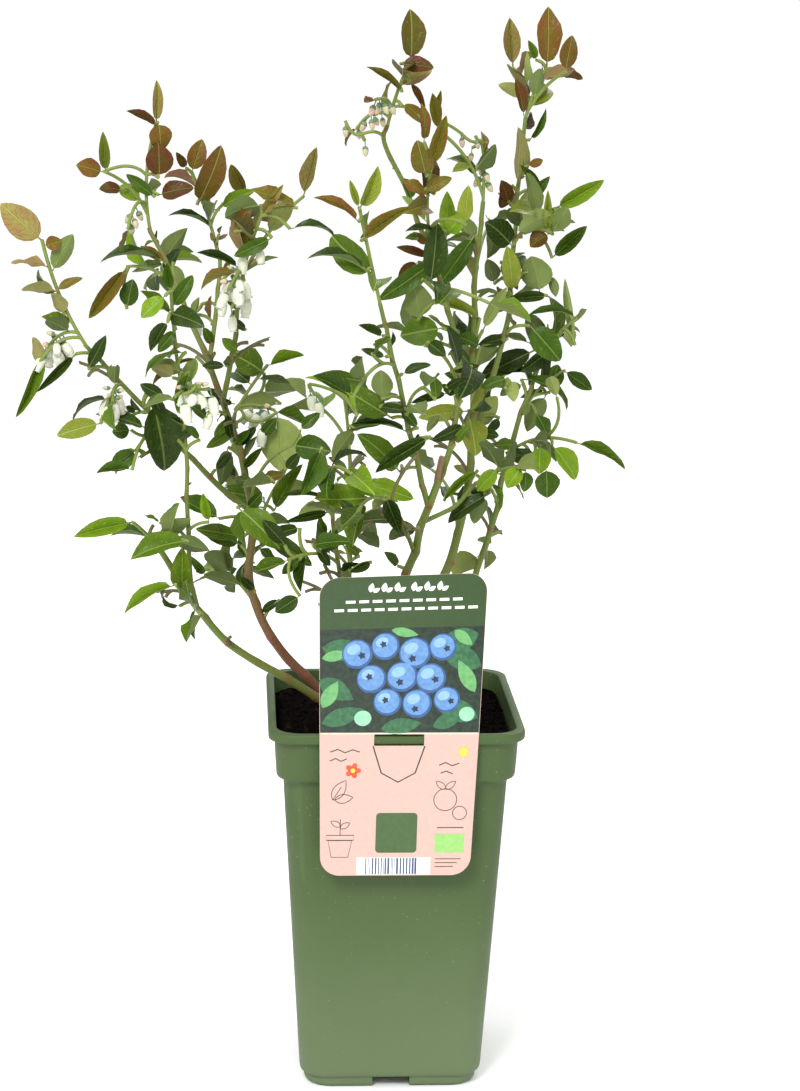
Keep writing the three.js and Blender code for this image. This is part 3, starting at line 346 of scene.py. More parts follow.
# Single leaves on the front elevation: the stalk's end, the tip, the width that shows, and two
# letters: the tint, then "u" where the underside shows or "a" where the leaf arches over.
LOOSE_LEAVES = (
    (264, 373, 233, 354, 28, "M"), (281, 404, 233, 410, 28, "Lu"),
    (277, 412, 279, 471, 46, "Lu"), (266, 503, 223, 493, 25, "M"),
    (274, 511, 303, 464, 16, "M"), (241, 545, 200, 529, 19, "M"),
    (362, 381, 319, 374, 13, "M"), (392, 418, 340, 386, 25, "M"),
    (381, 399, 381, 370, 20, "Mu"), (379, 407, 409, 411, 10, "D"), (400, 472, 357, 434, 22, "M"),
    (431, 437, 375, 473, 16, "D"), (361, 483, 414, 499, 21, "L"), (355, 429, 334, 462, 17, "Mu"),
    (331, 501, 281, 498, 8, "Da"), (418, 527, 389, 540, 20, "Du"), (357, 534, 379, 548, 22, "Du"),
    (266, 534, 312, 566, 18, "E"), (232, 572, 204, 554, 22, "Du"),
    (468, 411, 418, 418, 18, "Y"), (468, 415, 476, 456, 28, "Y"), (477, 427, 497, 396, 22, "Lu"),
    (540, 445, 539, 474, 22, "L"), (552, 445, 575, 480, 20, "L"), (546, 468, 547, 498, 28, "E"),
    (498, 468, 477, 491, 16, "L"), (521, 467, 507, 488, 18, "L"), (526, 470, 524, 492, 14, "E"),
    (485, 496, 474, 524, 17, "Eu"), (536, 413, 549, 440, 15, "E"),
    (546, 395, 527, 432, 20, "Mu"), (521, 379, 566, 411, 16, "Ea"),
    (479, 556, 452, 574, 25, "Lu"), (490, 543, 477, 540, 8, "Mu"),
    (418, 320, 412, 282, 32, "Mu"), (442, 328, 400, 336, 30, "M"), (540, 293, 531, 256, 37, "Mu"),
    (512, 292, 507, 246, 19, "Y"), (446, 241, 447, 191, 16, "L"), (435, 194, 432, 174, 28, "Oa"),
    (436, 260, 378, 300, 20, "E"), (475, 235, 437, 288, 20, "E"), (512, 246, 485, 222, 27, "D"),
    (549, 234, 530, 247, 20, "B"), (548, 232, 548, 190, 9, "Y"),
    (556, 213, 518, 231, 19, "Mu"), (530, 326, 560, 361, 28, "E"), (480, 318, 428, 301, 12, "Y"),
    (483, 330, 507, 287, 13, "Lu"), (447, 232, 464, 216, 16, "L"),
    (430, 257, 396, 247, 9, "R"), (427, 245, 413, 232, 8, "B"), (438, 232, 405, 232, 10, "Da"),
    (577, 318, 526, 318, 10, "Ea"), (494, 284, 487, 259, 16, "Eu"), (480, 347, 455, 336, 13, "E"),
    (530, 343, 495, 336, 12, "Eu"),
    (44, 246, 62, 241, 14, "B"), (52, 272, 73, 234, 17, "Mu"), (56, 291, 21, 290, 19, "Ou"),
    (56, 290, 83, 278, 9, "O"), (63, 315, 52, 293, 13, "Ou"), (88, 369, 106, 335, 12, "D"),
    (76, 354, 37, 392, 9, "D"), (38, 365, 33, 337, 12, "Ou"), (131, 430, 112, 432, 18, "E"),
    (136, 450, 111, 471, 19, "E"), (243, 537, 195, 529, 16, "M"),
    (209, 522, 203, 493, 10, "L"), (178, 411, 196, 358, 12, "Mu"), (150, 388, 196, 360, 9, "Oa"),
    (173, 378, 152, 368, 14, "Ou"), (127, 309, 133, 279, 20, "E"), (165, 296, 141, 318, 17, "L"),
    (166, 262, 100, 263, 11, "Ea"), (165, 262, 140, 246, 10, "B"),
    (155, 197, 126, 174, 12, "E"), (159, 195, 194, 188, 19, "R"),
    (159, 178, 158, 143, 31, "R"), (158, 122, 159, 151, 32, "B"), (157, 126, 126, 111, 9, "R"),
    (197, 205, 221, 145, 25, "B"),
    (298, 208, 250, 189, 14, "O"), (262, 205, 225, 218, 20, "Eu"), (234, 232, 252, 200, 12, "B"),
    (290, 229, 335, 240, 9, "Da"), (367, 271, 307, 259, 11, "Da"), (359, 222, 313, 198, 13, "Ba"),
    (359, 208, 350, 180, 7, "Y"), (361, 241, 411, 207, 13, "O"), (383, 336, 358, 325, 8, "D"),
    (386, 357, 361, 349, 8, "D"), (212, 228, 168, 216, 8, "Da"), (103, 172, 76, 165, 18, "B"),
    (122, 190, 99, 189, 13, "R"),
    (400, 64, 434, 68, 17, "R"), (402, 92, 366, 67, 8, "O"), (432, 118, 441, 90, 7, "O"),
    (426, 176, 417, 140, 21, "O"), (424, 142, 421, 103, 10, "B"),
    (423, 120, 405, 104, 12, "O"), (556, 70, 583, 79, 12, "R"), (535, 98, 540, 68, 15, "Eu"),
    (524, 116, 515, 78, 12, "R"), (517, 186, 518, 127, 15, "Ou"), (508, 201, 501, 180, 14, "R"),
    (528, 201, 550, 176, 10, "E"), (528, 166, 543, 160, 9, "B"), (536, 60, 528, 40, 8, "M"),
    (152, 400, 164, 471, 37, "D"), (173, 262, 177, 296, 20, "Eu"), (240, 268, 196, 253, 9, "D"),
    (272, 238, 234, 256, 14, "E"), (176, 330, 158, 352, 12, "E"), (186, 352, 146, 378, 7, "Ma"),
    (182, 372, 148, 366, 14, "Mu"), (196, 356, 186, 385, 14, "L"), (190, 372, 177, 412, 15, "M"),
    (165, 398, 140, 384, 13, "D"), (150, 392, 166, 420, 12, "D"), (235, 404, 195, 399, 8, "D"),
    (237, 428, 206, 448, 12, "M"), (228, 447, 220, 486, 16, "Du"), (408, 432, 350, 426, 10, "Da"),
    (465, 425, 432, 440, 13, "D"), (480, 432, 499, 436, 12, "E"), (520, 445, 493, 446, 12, "M"),
    (530, 462, 505, 452, 12, "E"), (405, 412, 380, 405, 8, "D"), (535, 350, 480, 378, 24, "D"),
    (523, 384, 500, 396, 12, "Eu"), (535, 372, 495, 372, 8, "D"), (508, 378, 480, 388, 12, "E"),
    (549, 275, 556, 297, 10, "Mu"), (512, 185, 500, 208, 14, "R"), (226, 366, 202, 366, 9, "D"),
    (330, 512, 285, 522, 9, "D"), (372, 562, 350, 572, 9, "D"), (243, 470, 262, 448, 9, "E"),
    (262, 480, 284, 474, 12, "O"), (418, 262, 398, 278, 12, "R"),
    (205, 575, 190, 556, 8, "E"), (258, 548, 276, 562, 9, "E"), (300, 596, 275, 612, 16, "D"),
    (357, 416, 304, 378, 13, "La"), (552, 258, 587, 226, 16, "E"), (575, 345, 565, 278, 9, "Lu"),
    (489, 494, 448, 523, 15, "D"), (428, 342, 446, 356, 14, "D"), (402, 374, 431, 365, 9, "D"),
    (448, 393, 411, 403, 9, "D"), (510, 380, 514, 402, 13, "Lu"), (535, 452, 508, 460, 14, "D"),
    (478, 470, 444, 501, 9, "L"), (548, 296, 505, 300, 12, "D"), (500, 262, 518, 290, 12, "Eu"),
    (548, 352, 520, 372, 16, "D"), (545, 390, 520, 398, 8, "E"), (418, 428, 400, 408, 10, "E"),
    (440, 414, 427, 432, 9, "Mu"), (462, 400, 455, 380, 12, "E"), (488, 404, 478, 384, 14, "D"),
    (502, 346, 468, 369, 17, "Mu"), (508, 338, 478, 345, 13, "D"), (285, 545, 262, 520, 14, "D"),
    (300, 528, 270, 538, 12, "D"), (412, 200, 402, 178, 12, "E"), (425, 190, 452, 178, 13, "O"),
    (540, 190, 520, 165, 9, "E"), (232, 418, 214, 436, 10, "M"), (258, 425, 238, 448, 9, "D"),
    (300, 430, 320, 413, 12, "E"), (402, 106, 431, 126, 11, "Ou"), (410, 82, 425, 112, 7, "R"),
    (436, 400, 434, 376, 12, "M"), (446, 388, 462, 378, 9, "D"), (452, 373, 480, 366, 8, "D"),
    (455, 396, 442, 384, 8, "D"), (215, 470, 232, 452, 9, "D"), (200, 440, 185, 425, 8, "E"),
    (178, 440, 196, 428, 8, "D"), (530, 140, 546, 108, 7, "E"), (300, 560, 282, 574, 10, "E"),
    (255, 590, 240, 576, 9, "D"), (280, 600, 262, 612, 9, "D"), (318, 548, 330, 566, 10, "D"),
    (360, 556, 345, 544, 9, "M"), (398, 566, 384, 552, 8, "E"), (492, 446, 470, 440, 10, "D"),
    (500, 418, 486, 432, 10, "D"), (455, 444, 470, 425, 9, "M"), (232, 445, 250, 430, 9, "E"),
    (222, 400, 206, 388, 8, "D"), (238, 352, 222, 338, 11, "M"), (246, 330, 230, 322, 8, "D"),
    (212, 345, 203, 327, 10, "E"),
    (428, 196, 402, 181, 13, "B"), (352, 520, 340, 500, 10, "D"), (248, 508, 262, 492, 10, "E"),
    (232, 440, 226, 414, 11, "D"), (262, 436, 276, 418, 12, "E"), (206, 418, 190, 406, 9, "D"),
    (286, 470, 300, 452, 10, "D"), (186, 168, 176, 152, 8, "R"),
)
# The dark tint D is a leaf colour of its own; on the single leaves above it also stands for leaves that lie in
# shade, so there it is partly painted shade.
LETTERS = {"D": Tint.DARK, "E": Tint.DEEP, "M": Tint.MID, "L": Tint.LIGHT, "Y": Tint.YELLOW,
           "O": Tint.OLIVE, "C": Tint.COPPER, "B": Tint.BRONZE, "R": Tint.RED}
# How tints are dealt to a mass's leaves: the tones, the least share of youth, and up to where in the
# deal each letter's tint goes. The first row that fits holds.
TURNING = (Tone.BRONZE, Tone.RED)
DEALS = (
    ((Tone.RED,), 0.5, {"R": 0.35, "B": 0.7, "O": 0.85, "C": 1}),
    ((Tone.BRONZE,), 0.5, {"R": 0.15, "B": 0.4, "O": 0.7, "C": 1}),
    (TURNING, 0.25, {"O": 0.3, "Y": 0.5, "L": 0.75, "E": 1}),
    ((Tone.FRESH,), 0.6, {"Y": 0.2, "L": 0.6, "O": 0.68, "M": 1}),
    (tuple(Tone), 0.8, {"L": 0.5, "M": 1}),
    (tuple(Tone), -math.inf, {"D": 0.3, "E": 0.66, "M": 0.88, "L": 1}),
)
# Spots of a leaf, in widths and lengths, that mustn't hide anything: its tip first.
LEAF_SPOTS = ((0, 1), (0, 0.25), (0, 0.5), (0, 0.75), (0.35, 0.4), (-0.35, 0.4))
# Single flowering shoots on the same elevation: where each ends, where its flowers' mouths come,
# and whether they are still in bud.
LOOSE_BELLS = (
    (196, 386, ((188, 422), (206, 429), (215, 414)), False),
    (243, 276, ((231, 301), (245, 317), (233, 332), (221, 317)), False),
    (244, 416, ((235, 445), (261, 445)), False),
    (309, 384, ((313, 410), (321, 417)), False),
    (246, 246, ((243, 274), (261, 264)), False),
    (202, 304, ((199, 336),), False),
    (481, 140, ((463, 150), (470, 165), (489, 162), (479, 152)), True),
    (362, 134, ((346, 140), (366, 160)), True), (378, 112, ((373, 134), (384, 130)), True),
)
# Round gaps of open sky on the same elevation, where none of the rule's leaves stands.
SKY_GAPS = (
    (290, 310, 38), (330, 322, 34), (320, 276, 20), (185, 203, 9), (225, 184, 9), (128, 345, 20),
    (228, 330, 8), (268, 338, 12), (205, 437, 8), (335, 420, 13), (165, 500, 14), (135, 492, 14),
    (195, 490, 9), (200, 452, 7), (215, 466, 7), (230, 511, 9), (120, 565, 18), (150, 630, 26),
    (215, 605, 11), (228, 628, 12), (245, 648, 9), (262, 588, 7), (305, 540, 10), (320, 556, 8),
    (385, 246, 12), (386, 264, 9), (345, 300, 24), (392, 318, 7), (398, 356, 7), (420, 378, 9),
    (437, 362, 10), (460, 285, 11), (468, 196, 8), (490, 200, 9), (560, 290, 8), (595, 290, 20),
    (590, 350, 14), (585, 410, 18), (516, 402, 7), (515, 416, 6), (411, 510, 12), (415, 480, 7),
    (436, 460, 8), (452, 475, 7), (447, 528, 10), (438, 556, 10), (472, 540, 9), (530, 530, 25),
    (560, 502, 20), (590, 490, 20), (530, 505, 8), (386, 546, 8), (396, 562, 9), (355, 470, 6),
    (345, 345, 12), (366, 345, 8), (505, 556, 10), (300, 235, 16), (345, 236, 9), (330, 185, 14),
    (410, 165, 8), (452, 152, 8), (497, 165, 7), (395, 190, 8), (445, 118, 12), (495, 128, 8),
    (372, 74, 8), (492, 76, 9), (562, 92, 9), (282, 243, 9), (290, 225, 6), (575, 436, 9),
    (378, 163, 9), (418, 354, 8), (448, 482, 10), (578, 428, 7), (485, 210, 8), (118, 165, 9),
    (112, 207, 8), (139, 165, 8), (135, 150, 8), (572, 416, 8), (555, 408, 6), (360, 95, 8),
    (350, 75, 8), (560, 425, 8), (100, 240, 14), (75, 300, 8), (105, 395, 7), (160, 440, 4),
    (545, 330, 5), (575, 250, 10),
)


# ---------------------------------------------------------------- meshes and pieces
def mesh_of(name: str, points: Iterable[Sequence[float]], faces: Faces, scale: float = MM) -> bpy.types.Mesh:
    """A mesh from points in millimetres.

    Args:
        name: the mesh's name.
        points: its corners.
        faces: corner numbers of each face.
        scale: what turns the points into metres.

    Returns:
        The mesh, checked by Blender.
    """
    mesh = bpy.data.meshes.new(name)
    mesh.from_pydata([tuple(c * scale for c in p) for p in points], [], faces)
    mesh.validate()
    mesh.update()
    return mesh


def hidden(name: str, mesh: bpy.types.Mesh) -> bpy.types.Object:
    """An object that only serves as a pattern for others and isn't in the scene."""
    return bpy.data.objects.new(name, mesh)


def placed(name: str, data: bpy.types.ID) -> bpy.types.Object:
    """A new object in the scene, at the origin."""
    obj = bpy.data.objects.new(name, data)
    bpy.context.scene.collection.objects.link(obj)
    return obj


def put(name: str, mesh: bpy.types.Mesh, finish: "Finish | None", smooth: bool = True) -> bpy.types.Object:
    """An object in the scene that shows a mesh.

    Args:
        name: the piece's name.
        mesh: what it shows.
        finish: what it is finished with, or None where the mesh already has its materials.
        smooth: whether its faces are shaded smooth.

    Returns:
        The object, at the origin.
    """
    obj = placed(name, mesh)
    if finish:
        mesh.materials.clear()
        mesh.materials.append(finish.material())
    mesh.shade_smooth() if smooth else mesh.shade_flat()
    return obj


def settle(obj: bpy.types.Object, slot: str, *nodes: str) -> bpy.types.Object:
    """Makes a finished object a piece of the part.

    Args:
        obj: the object.
        slot: the record's material slot; not used.
        nodes: the solids that it stands for.

    Returns:
        The same object.
    """
    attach(obj, "root")
    if nodes:
        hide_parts(*nodes)
    log.info("%s: %d faces", obj.name, len(obj.data.polygons))
    return obj


def baked(obj: bpy.types.Object, name: str) -> bpy.types.Object:
    """Turns what an object's modifiers make into a plain mesh.

    Args:
        obj: the object with its modifiers, which is removed.
        name: the name of the plain object.

    Returns:
        The plain object.
    """
    graph = bpy.context.evaluated_depsgraph_get()
    graph.update()
    made = obj.evaluated_get(graph)
    mesh = bpy.data.meshes.new_from_object(made, preserve_all_data_layers=True, depsgraph=graph)
    bpy.data.objects.remove(obj)
    mesh.name = name
    return put(name, mesh, None)


class Solids:
    """Closed bodies gathered into one mesh."""

    def __init__(self) -> None:
        """Starts with nothing."""
        self.points: list[Vector] = []
        self.faces: Faces = []

    def add(self, points: Iterable[Vector], faces: Faces) -> None:
        """Adds one body.

        Args:
            points: its corners in millimetres.
            faces: corner numbers of its faces, counted from its own first corner.
        """
        first = len(self.points)
        self.points.extend(points)
        self.faces.extend(tuple(first + i for i in face) for face in faces)

    def add_box(self, low: Vector, high: Vector) -> None:
        """Adds a box between its lowest and its highest corner."""
        (a, b), (c, d), (e, f) = zip(low, high)
        corners = [Vector((x, y, z)) for x in (a, b) for y in (c, d) for z in (e, f)]
        self.add(corners, [(0, 1, 3, 2), (4, 6, 7, 5), (0, 4, 5, 1), (2, 3, 7, 6), (0, 2, 6, 4), (1, 5, 7, 3)])

    def mesh(self, name: str) -> bpy.types.Mesh:
        """All the bodies as one mesh."""
        return mesh_of(name, self.points, self.faces)


# ---------------------------------------------------------------- finishes
class NodeTree:
    """Short ways to lay out the nodes of a tree."""

    def __init__(self, tree: bpy.types.NodeTree) -> None:
        """Takes the tree to lay out."""
        self.tree = tree

    def node(self, kind: str, inputs: dict | None = None, **settings: object) -> bpy.types.Node:
        """Adds a node.

        Args:
            kind: Blender's name of it.
            inputs: what its inputs are set or joined to, by number or name.
            settings: its other settings.

        Returns:
            The node.
        """
        node = self.tree.nodes.new(kind)
        for name, value in settings.items():
            setattr(node, name, value)
        for key, value in (inputs or {}).items():
            if isinstance(value, (bpy.types.NodeSocket, list)):
                for source in value if isinstance(value, list) else [value]:
                    self.tree.links.new(source, node.inputs[key])
            else:
                node.inputs[key].default_value = value
        return node

    def math(self, kind: str, *values: Socket) -> bpy.types.NodeSocket:
        """The sum, product or the like of numbers, by Blender's name of the operation."""
        return self.node("ShaderNodeMath", dict(enumerate(values)), operation=kind).outputs[0]


class Nodes(NodeTree):
    """A material's nodes, with its shader and output in place."""

    def __init__(self, name: str) -> None:
        """Starts the material under its name."""
        self.material = bpy.data.materials.new(name)
        self.material.use_nodes = True
        super().__init__(self.material.node_tree)
        self.tree.nodes.clear()
        self.shader = self.node("ShaderNodeBsdfPrincipled")
        self.node("ShaderNodeOutputMaterial", {0: self.shader.outputs[0]})
        self.place = self.node("ShaderNodeTexCoord").outputs

    def noise(self, scale: float, detail: float = 3, stretch: Sequence[float] = (1, 1, 1),
              place: str = "Object") -> bpy.types.NodeSocket:
        """Uneven patches in the part's own coordinates.

        Args:
            scale: how many patches there are to the metre.
            detail: how much finer the patches get.
            stretch: scale along each axis.
            place: the coordinates that they lie in.

        Returns:
            The strength's socket.
        """
        turn = self.node("ShaderNodeMapping", {"Scale": stretch, "Vector": self.place[place]})
        inputs = {"Scale": scale, "Detail": detail, "Vector": turn.outputs[0]}
        return self.node("ShaderNodeTexNoise", inputs).outputs["Fac"]

    def span(self, source: Socket, low: float, high: float,
             to: tuple[float, float] = (0, 1)) -> bpy.types.NodeSocket:
        """Stretches the range from low to high onto another and keeps within it."""
        return self.node("ShaderNodeMapRange", dict(enumerate((source, low, high, *to)))).outputs[0]

    def mix(self, amount: Socket, one: Socket, other: Socket) -> bpy.types.NodeSocket:
        """Mixes an amount of the other colour into the one."""
        one, other = (c if isinstance(c, bpy.types.NodeSocket) else (*c, 1) for c in (one, other))
        return self.node("ShaderNodeMix", {0: amount, 6: one, 7: other}, data_type="RGBA").outputs[2]

    def attribute(self, name: str) -> bpy.types.NodeSocket:
        """A number that the mesh carries."""
        return self.node("ShaderNodeAttribute", attribute_name=name).outputs["Fac"]

    def axes(self, place: str) -> bpy.types.NodeOutputs:
        """The X, Y and Z of a kind of coordinates."""
        return self.node("ShaderNodeSeparateXYZ", {0: self.place[place]}).outputs

    def bump(self, height: bpy.types.NodeSocket, depth: float) -> None:
        """Gives the surface relief of a depth in metres."""
        node = self.node("ShaderNodeBump", {"Strength": 1, "Distance": depth, "Height": height})
        self.tree.links.new(node.outputs[0], self.shader.inputs["Normal"])

    def surface(self, colour: bpy.types.NodeSocket, roughness: Socket,
                specular: float = 0.5) -> bpy.types.Material:
        """Sets colour, roughness and specular level on the shader and gives the material."""
        self.tree.links.new(colour, self.shader.inputs["Base Color"])
        if isinstance(roughness, bpy.types.NodeSocket):
            self.tree.links.new(roughness, self.shader.inputs["Roughness"])
        else:
            self.shader.inputs["Roughness"].default_value = roughness
        self.shader.inputs["Specular IOR Level"].default_value = specular
        return self.material


@dataclass(frozen=True)
class Finish:
    """What a surface is finished with: two near colours in patches."""

    name: str
    base: Colour
    other: Colour

    def material(self) -> bpy.types.Material:
        """The material, made once."""
        return bpy.data.materials.get(self.name) or self.make()

    def make(self) -> bpy.types.Material:
        """A plain printed surface: slightly uneven, with a soft gloss."""
        n = Nodes(self.name)
        colour = n.mix(n.span(n.noise(420), 0.3, 0.7), self.base, self.other)
        return n.surface(colour, n.span(n.noise(90), 0.3, 0.7, (0.32, 0.42)))


@dataclass(frozen=True)
class LeafFinish(Finish):
    """A leaf's upper side: glossy, with a pale net of veins sunk in it, and darkened as painted shade where
    its shade number is low.
    """

    vein: Colour = srgb(160, 180, 90)
    gloss: float = 0.3
    pucker: float = 0.00022
    sheen: float = 0.15
    side_veins: float = 6.5  # how many leave the midrib on each side
    vein_slant: float = 5.0
    vein_stray: float = 2.0

    def make(self) -> bpy.types.Material:
        """The leaf's material, with the veins laid out on its length and width."""
        n = Nodes(self.name)
        across, along = n.axes("UV")[:2]
        aside = n.math("ABSOLUTE", n.math("SUBTRACT", across, 0.5))
        slant = n.math("MULTIPLY", aside, self.vein_slant)
        rise = n.math("SUBTRACT", n.math("MULTIPLY", along, self.side_veins), slant)
        rise = n.math("ADD", rise, n.math("MULTIPLY", n.noise(300, 2), self.vein_stray))
        gap = n.math("ABSOLUTE", n.math("SUBTRACT", n.math("FRACT", rise), 0.5))
        side_vein = n.span(gap, 0.0, 0.09, (1, 0))
        mid_vein = n.span(aside, 0.012, 0.04, (1, 0))
        veins = n.math("MAXIMUM", n.math("MULTIPLY", side_vein, 0.6), mid_vein)
        mottle = n.span(n.noise(170, 4), 0.34, 0.68, (-0.3, 0.5))
        blade = n.mix(n.math("ADD", n.span(aside, 0.05, 0.34, (0, 0.6)), mottle), self.base, self.other)
        # Painted shade: the lower a leaf's shade number is below 0.8, the more its blade is mixed towards 0.4
        # of its base colour, up to three quarters of the way.
        dark = tuple(0.4 * c for c in self.base)
        blade = n.mix(n.span(n.attribute("shade"), 0.0, 0.8, (0.75, 0.0)), blade, dark)
        swell = n.math("ADD", n.math("MULTIPLY", n.noise(420, 2), 0.8), n.math("MULTIPLY", veins, -0.8))
        n.bump(swell, self.pucker)
        roughness = n.span(n.noise(260), 0.3, 0.7, (self.gloss, self.gloss + 0.16))
        return n.surface(n.mix(n.math("MULTIPLY", veins, 0.6), blade, self.vein), roughness, self.sheen)


@dataclass(frozen=True)
class UndersideFinish(LeafFinish):
    """A leaf's underside: paler, duller, with its veins standing out."""

    gloss: float = 0.55
    pucker: float = -0.00012
    sheen: float = 0.12


@dataclass(frozen=True)
class BarkFinish(Finish):
    """A cane's skin: lengthwise streaks, and freckles where bark is forming."""

    node: Colour = srgb(120, 62, 40)

    def make(self) -> bpy.types.Material:
        """The bark's material, streaked along the limb's own length."""
        n = Nodes(self.name)
        streak = n.noise(1, 3, (9, 110, 1), "UV")
        age = n.math("MULTIPLY", n.attribute("age"), 0.9)
        brown = n.math("ADD", n.math("MULTIPLY", streak, 0.6), age)
        skin = n.mix(n.span(brown, 0.35, 0.9), self.base, self.other)
        freckle = n.span(n.noise(900, 2), 0.62, 0.7)
        skin = n.mix(n.math("MULTIPLY", freckle, 0.35), skin, self.node)
        n.bump(n.math("ADD", streak, n.noise(1500, 2)), 0.00025)
        roughness = n.span(streak, 0.3, 0.7, (0.42, 0.6))
        return n.surface(n.mix(n.attribute("scar"), skin, self.node), roughness, 0.4)


@dataclass(frozen=True)
class PotFinish(Finish):
    """Moulded plastic: satin, faintly mottled, with rubbed spots and fine scratches, and paler towards its
    foot.
    """

    # a pale colour mixed in at the rubbed spots and scratches, and more and more towards the foot
    pale_colour: Colour = srgb(150, 165, 130)

    def make(self) -> bpy.types.Material:
        """The pot's material."""
        n = Nodes(self.name)
        body = n.mix(n.span(n.noise(14, 3), 0.3, 0.7), self.base, self.other)
        speck = n.span(n.noise(620, 2), 0.70, 0.76)
        scratch = n.span(n.noise(60, 5, (1, 1, 0.12)), 0.60, 0.66)
        pale_share = n.math("MAXIMUM", n.math("MULTIPLY", speck, 0.4), n.math("MULTIPLY", scratch, 0.04))
        # Paler towards the foot: the pale colour is mixed in up to a quarter at the foot, fading out 0.13 m
        # up.
        pale_share = n.math("MAXIMUM", pale_share, n.span(n.axes("Object")[2], 0.0, 0.13, (0.26, 0.0)))
        n.bump(n.math("ADD", n.noise(2200, 2), n.math("MULTIPLY", n.noise(55, 2), 1.5)), 0.00007)
        return n.surface(n.mix(pale_share, body, self.pale_colour), n.span(n.noise(45, 4), 0.3, 0.7, (0.5, 0.62)), 0.36)


@dataclass(frozen=True)
class EarthFinish(Finish):
    """Moist compost: dark crumbs with brown fibres."""

    def make(self) -> bpy.types.Material:
        """The compost's material."""
        n = Nodes(self.name)
        crumb = n.mix(n.span(n.noise(520, 5), 0.42, 0.66), self.base, self.other)
        fibre = n.math("MULTIPLY", n.span(n.noise(240, 4, (1, 0.25, 1)), 0.60, 0.70), 0.5)
        n.bump(n.noise(900, 5), 0.0012)
        earth = n.mix(fibre, crumb, srgb(50, 33, 21))
        return n.surface(earth, n.span(n.noise(300), 0.3, 0.7, (0.85, 1.0)), 0.02)


@dataclass(frozen=True)
class PetalFinish(Finish):
    """A waxy flower: soft, with light coming a little way through it."""

    glow: float = 0.25

    def make(self) -> bpy.types.Material:
        """The flower's material, in soft patches of its two colours."""
        n = Nodes(self.name)
        n.shader.inputs["Subsurface Weight"].default_value = self.glow
        n.shader.inputs["Subsurface Radius"].default_value = (0.002, 0.0016, 0.001)
        n.bump(n.noise(1400, 2), 0.00006)
        colour = n.mix(n.span(n.noise(260, 3), 0.35, 0.65), self.base, self.other)
        return n.surface(colour, n.span(n.noise(500), 0.3, 0.7, (0.4, 0.52)), 0.4)


POT = PotFinish("pot_green", srgb(61, 82, 39), srgb(66, 86, 44))
COMPOST = EarthFinish("compost_dark", srgb(3, 2, 2), srgb(16, 11, 8))
GREEN_BARK = BarkFinish("bark_green", srgb(98, 116, 42), srgb(92, 94, 40))
BROWN_BARK = BarkFinish("bark_brown", srgb(104, 110, 48), srgb(98, 60, 36))
STUB_BARK = BarkFinish("bark_stub", srgb(122, 92, 62), srgb(104, 66, 44))
SHOOT = BarkFinish("shoot_green", srgb(116, 132, 56), srgb(98, 110, 44), srgb(120, 72, 40))
OLD_TWIG = BarkFinish("twig_brown", srgb(96, 92, 52), srgb(92, 62, 44))
CUT_WOOD = Finish("cut_wood", srgb(170, 150, 118), srgb(140, 118, 88))
SCALE = Finish("bud_scale_brown", srgb(116, 62, 38), srgb(84, 44, 30))
BELL = PetalFinish("bell_white", srgb(216, 217, 203), srgb(201, 205, 180))
BUD = PetalFinish("bud_blush", srgb(206, 168, 150), srgb(180, 182, 140))
CALYX = PetalFinish("calyx_green", srgb(110, 134, 82), srgb(88, 118, 94), 0.1)


def leaf_pair(name: str, core: Paint, rim: Paint, vein: Paint, under: Paint,
              pucker: float) -> tuple[LeafFinish, UndersideFinish]:
    """The finishes of a leaf's two sides.

    Args:
        name: the tint's name.
        core: the upper side's colour along the midrib.
        rim: its colour at the edge.
        vein: the colour of its veins.
        under: the underside's colour.
        pucker: how deep the upper side's relief is, in metres.

    Returns:
        The upper side's finish and the underside's.
    """
    veins, base = srgb(*vein), srgb(*under)
    pale = tuple(0.25 * u + 0.75 * v for u, v in zip(veins, base))
    near = tuple(0.84 * c for c in base)
    return (
        LeafFinish("leaf_" + name, srgb(*core), srgb(*rim), veins, 0.28, 1.5 * pucker),
        UndersideFinish("leaf_" + name + "_under", base, near, pale),
    )


LEAF_PAINTS = {
    Tint.DARK: ((36, 56, 8), (46, 66, 14), (104, 124, 54), (92, 108, 60), 2.4e-4),
    Tint.DEEP: ((50, 78, 8), (62, 90, 14), (124, 144, 60), (102, 118, 66), 2.4e-4),
    Tint.MID: ((70, 98, 12), (84, 110, 20), (146, 162, 74), (116, 132, 72), 2.2e-4),
    Tint.LIGHT: ((97, 131, 14), (115, 143, 28), (168, 184, 82), (134, 148, 80), 2.2e-4),
    Tint.YELLOW: ((114, 132, 36), (128, 132, 48), (182, 186, 92), (150, 154, 86), 3e-4),
    Tint.OLIVE: ((100, 98, 24), (112, 82, 30), (156, 150, 74), (130, 126, 74), 4e-4),
    Tint.COPPER: ((142, 136, 68), (142, 108, 72), (178, 164, 92), (158, 134, 88), 4e-4),
    Tint.BRONZE: ((106, 90, 24), (118, 66, 32), (156, 140, 72), (138, 114, 74), 4e-4),
    Tint.RED: ((76, 60, 18), (92, 42, 24), (134, 112, 54), (130, 92, 64), 4e-4),
}
LEAF_FINISHES = {tint: leaf_pair(tint.value, *row) for tint, row in LEAF_PAINTS.items()}


# ---------------------------------------------------------------- growth
class Run:
    """A seeded run of numbers from 0 to 1, the same for the same name."""

    def __init__(self, name: str) -> None:
        """Starts the run.

        Args:
            name: what it is seeded by.
        """
        self.state = 7
        for letter in name:
            self.state = (self.state * 31 + ord(letter)) % 2**32

    def __call__(self) -> float:
        """The next number."""
        self.state = (self.state * 1664525 + 1013904223) % 2**32
        return self.state / 2**32


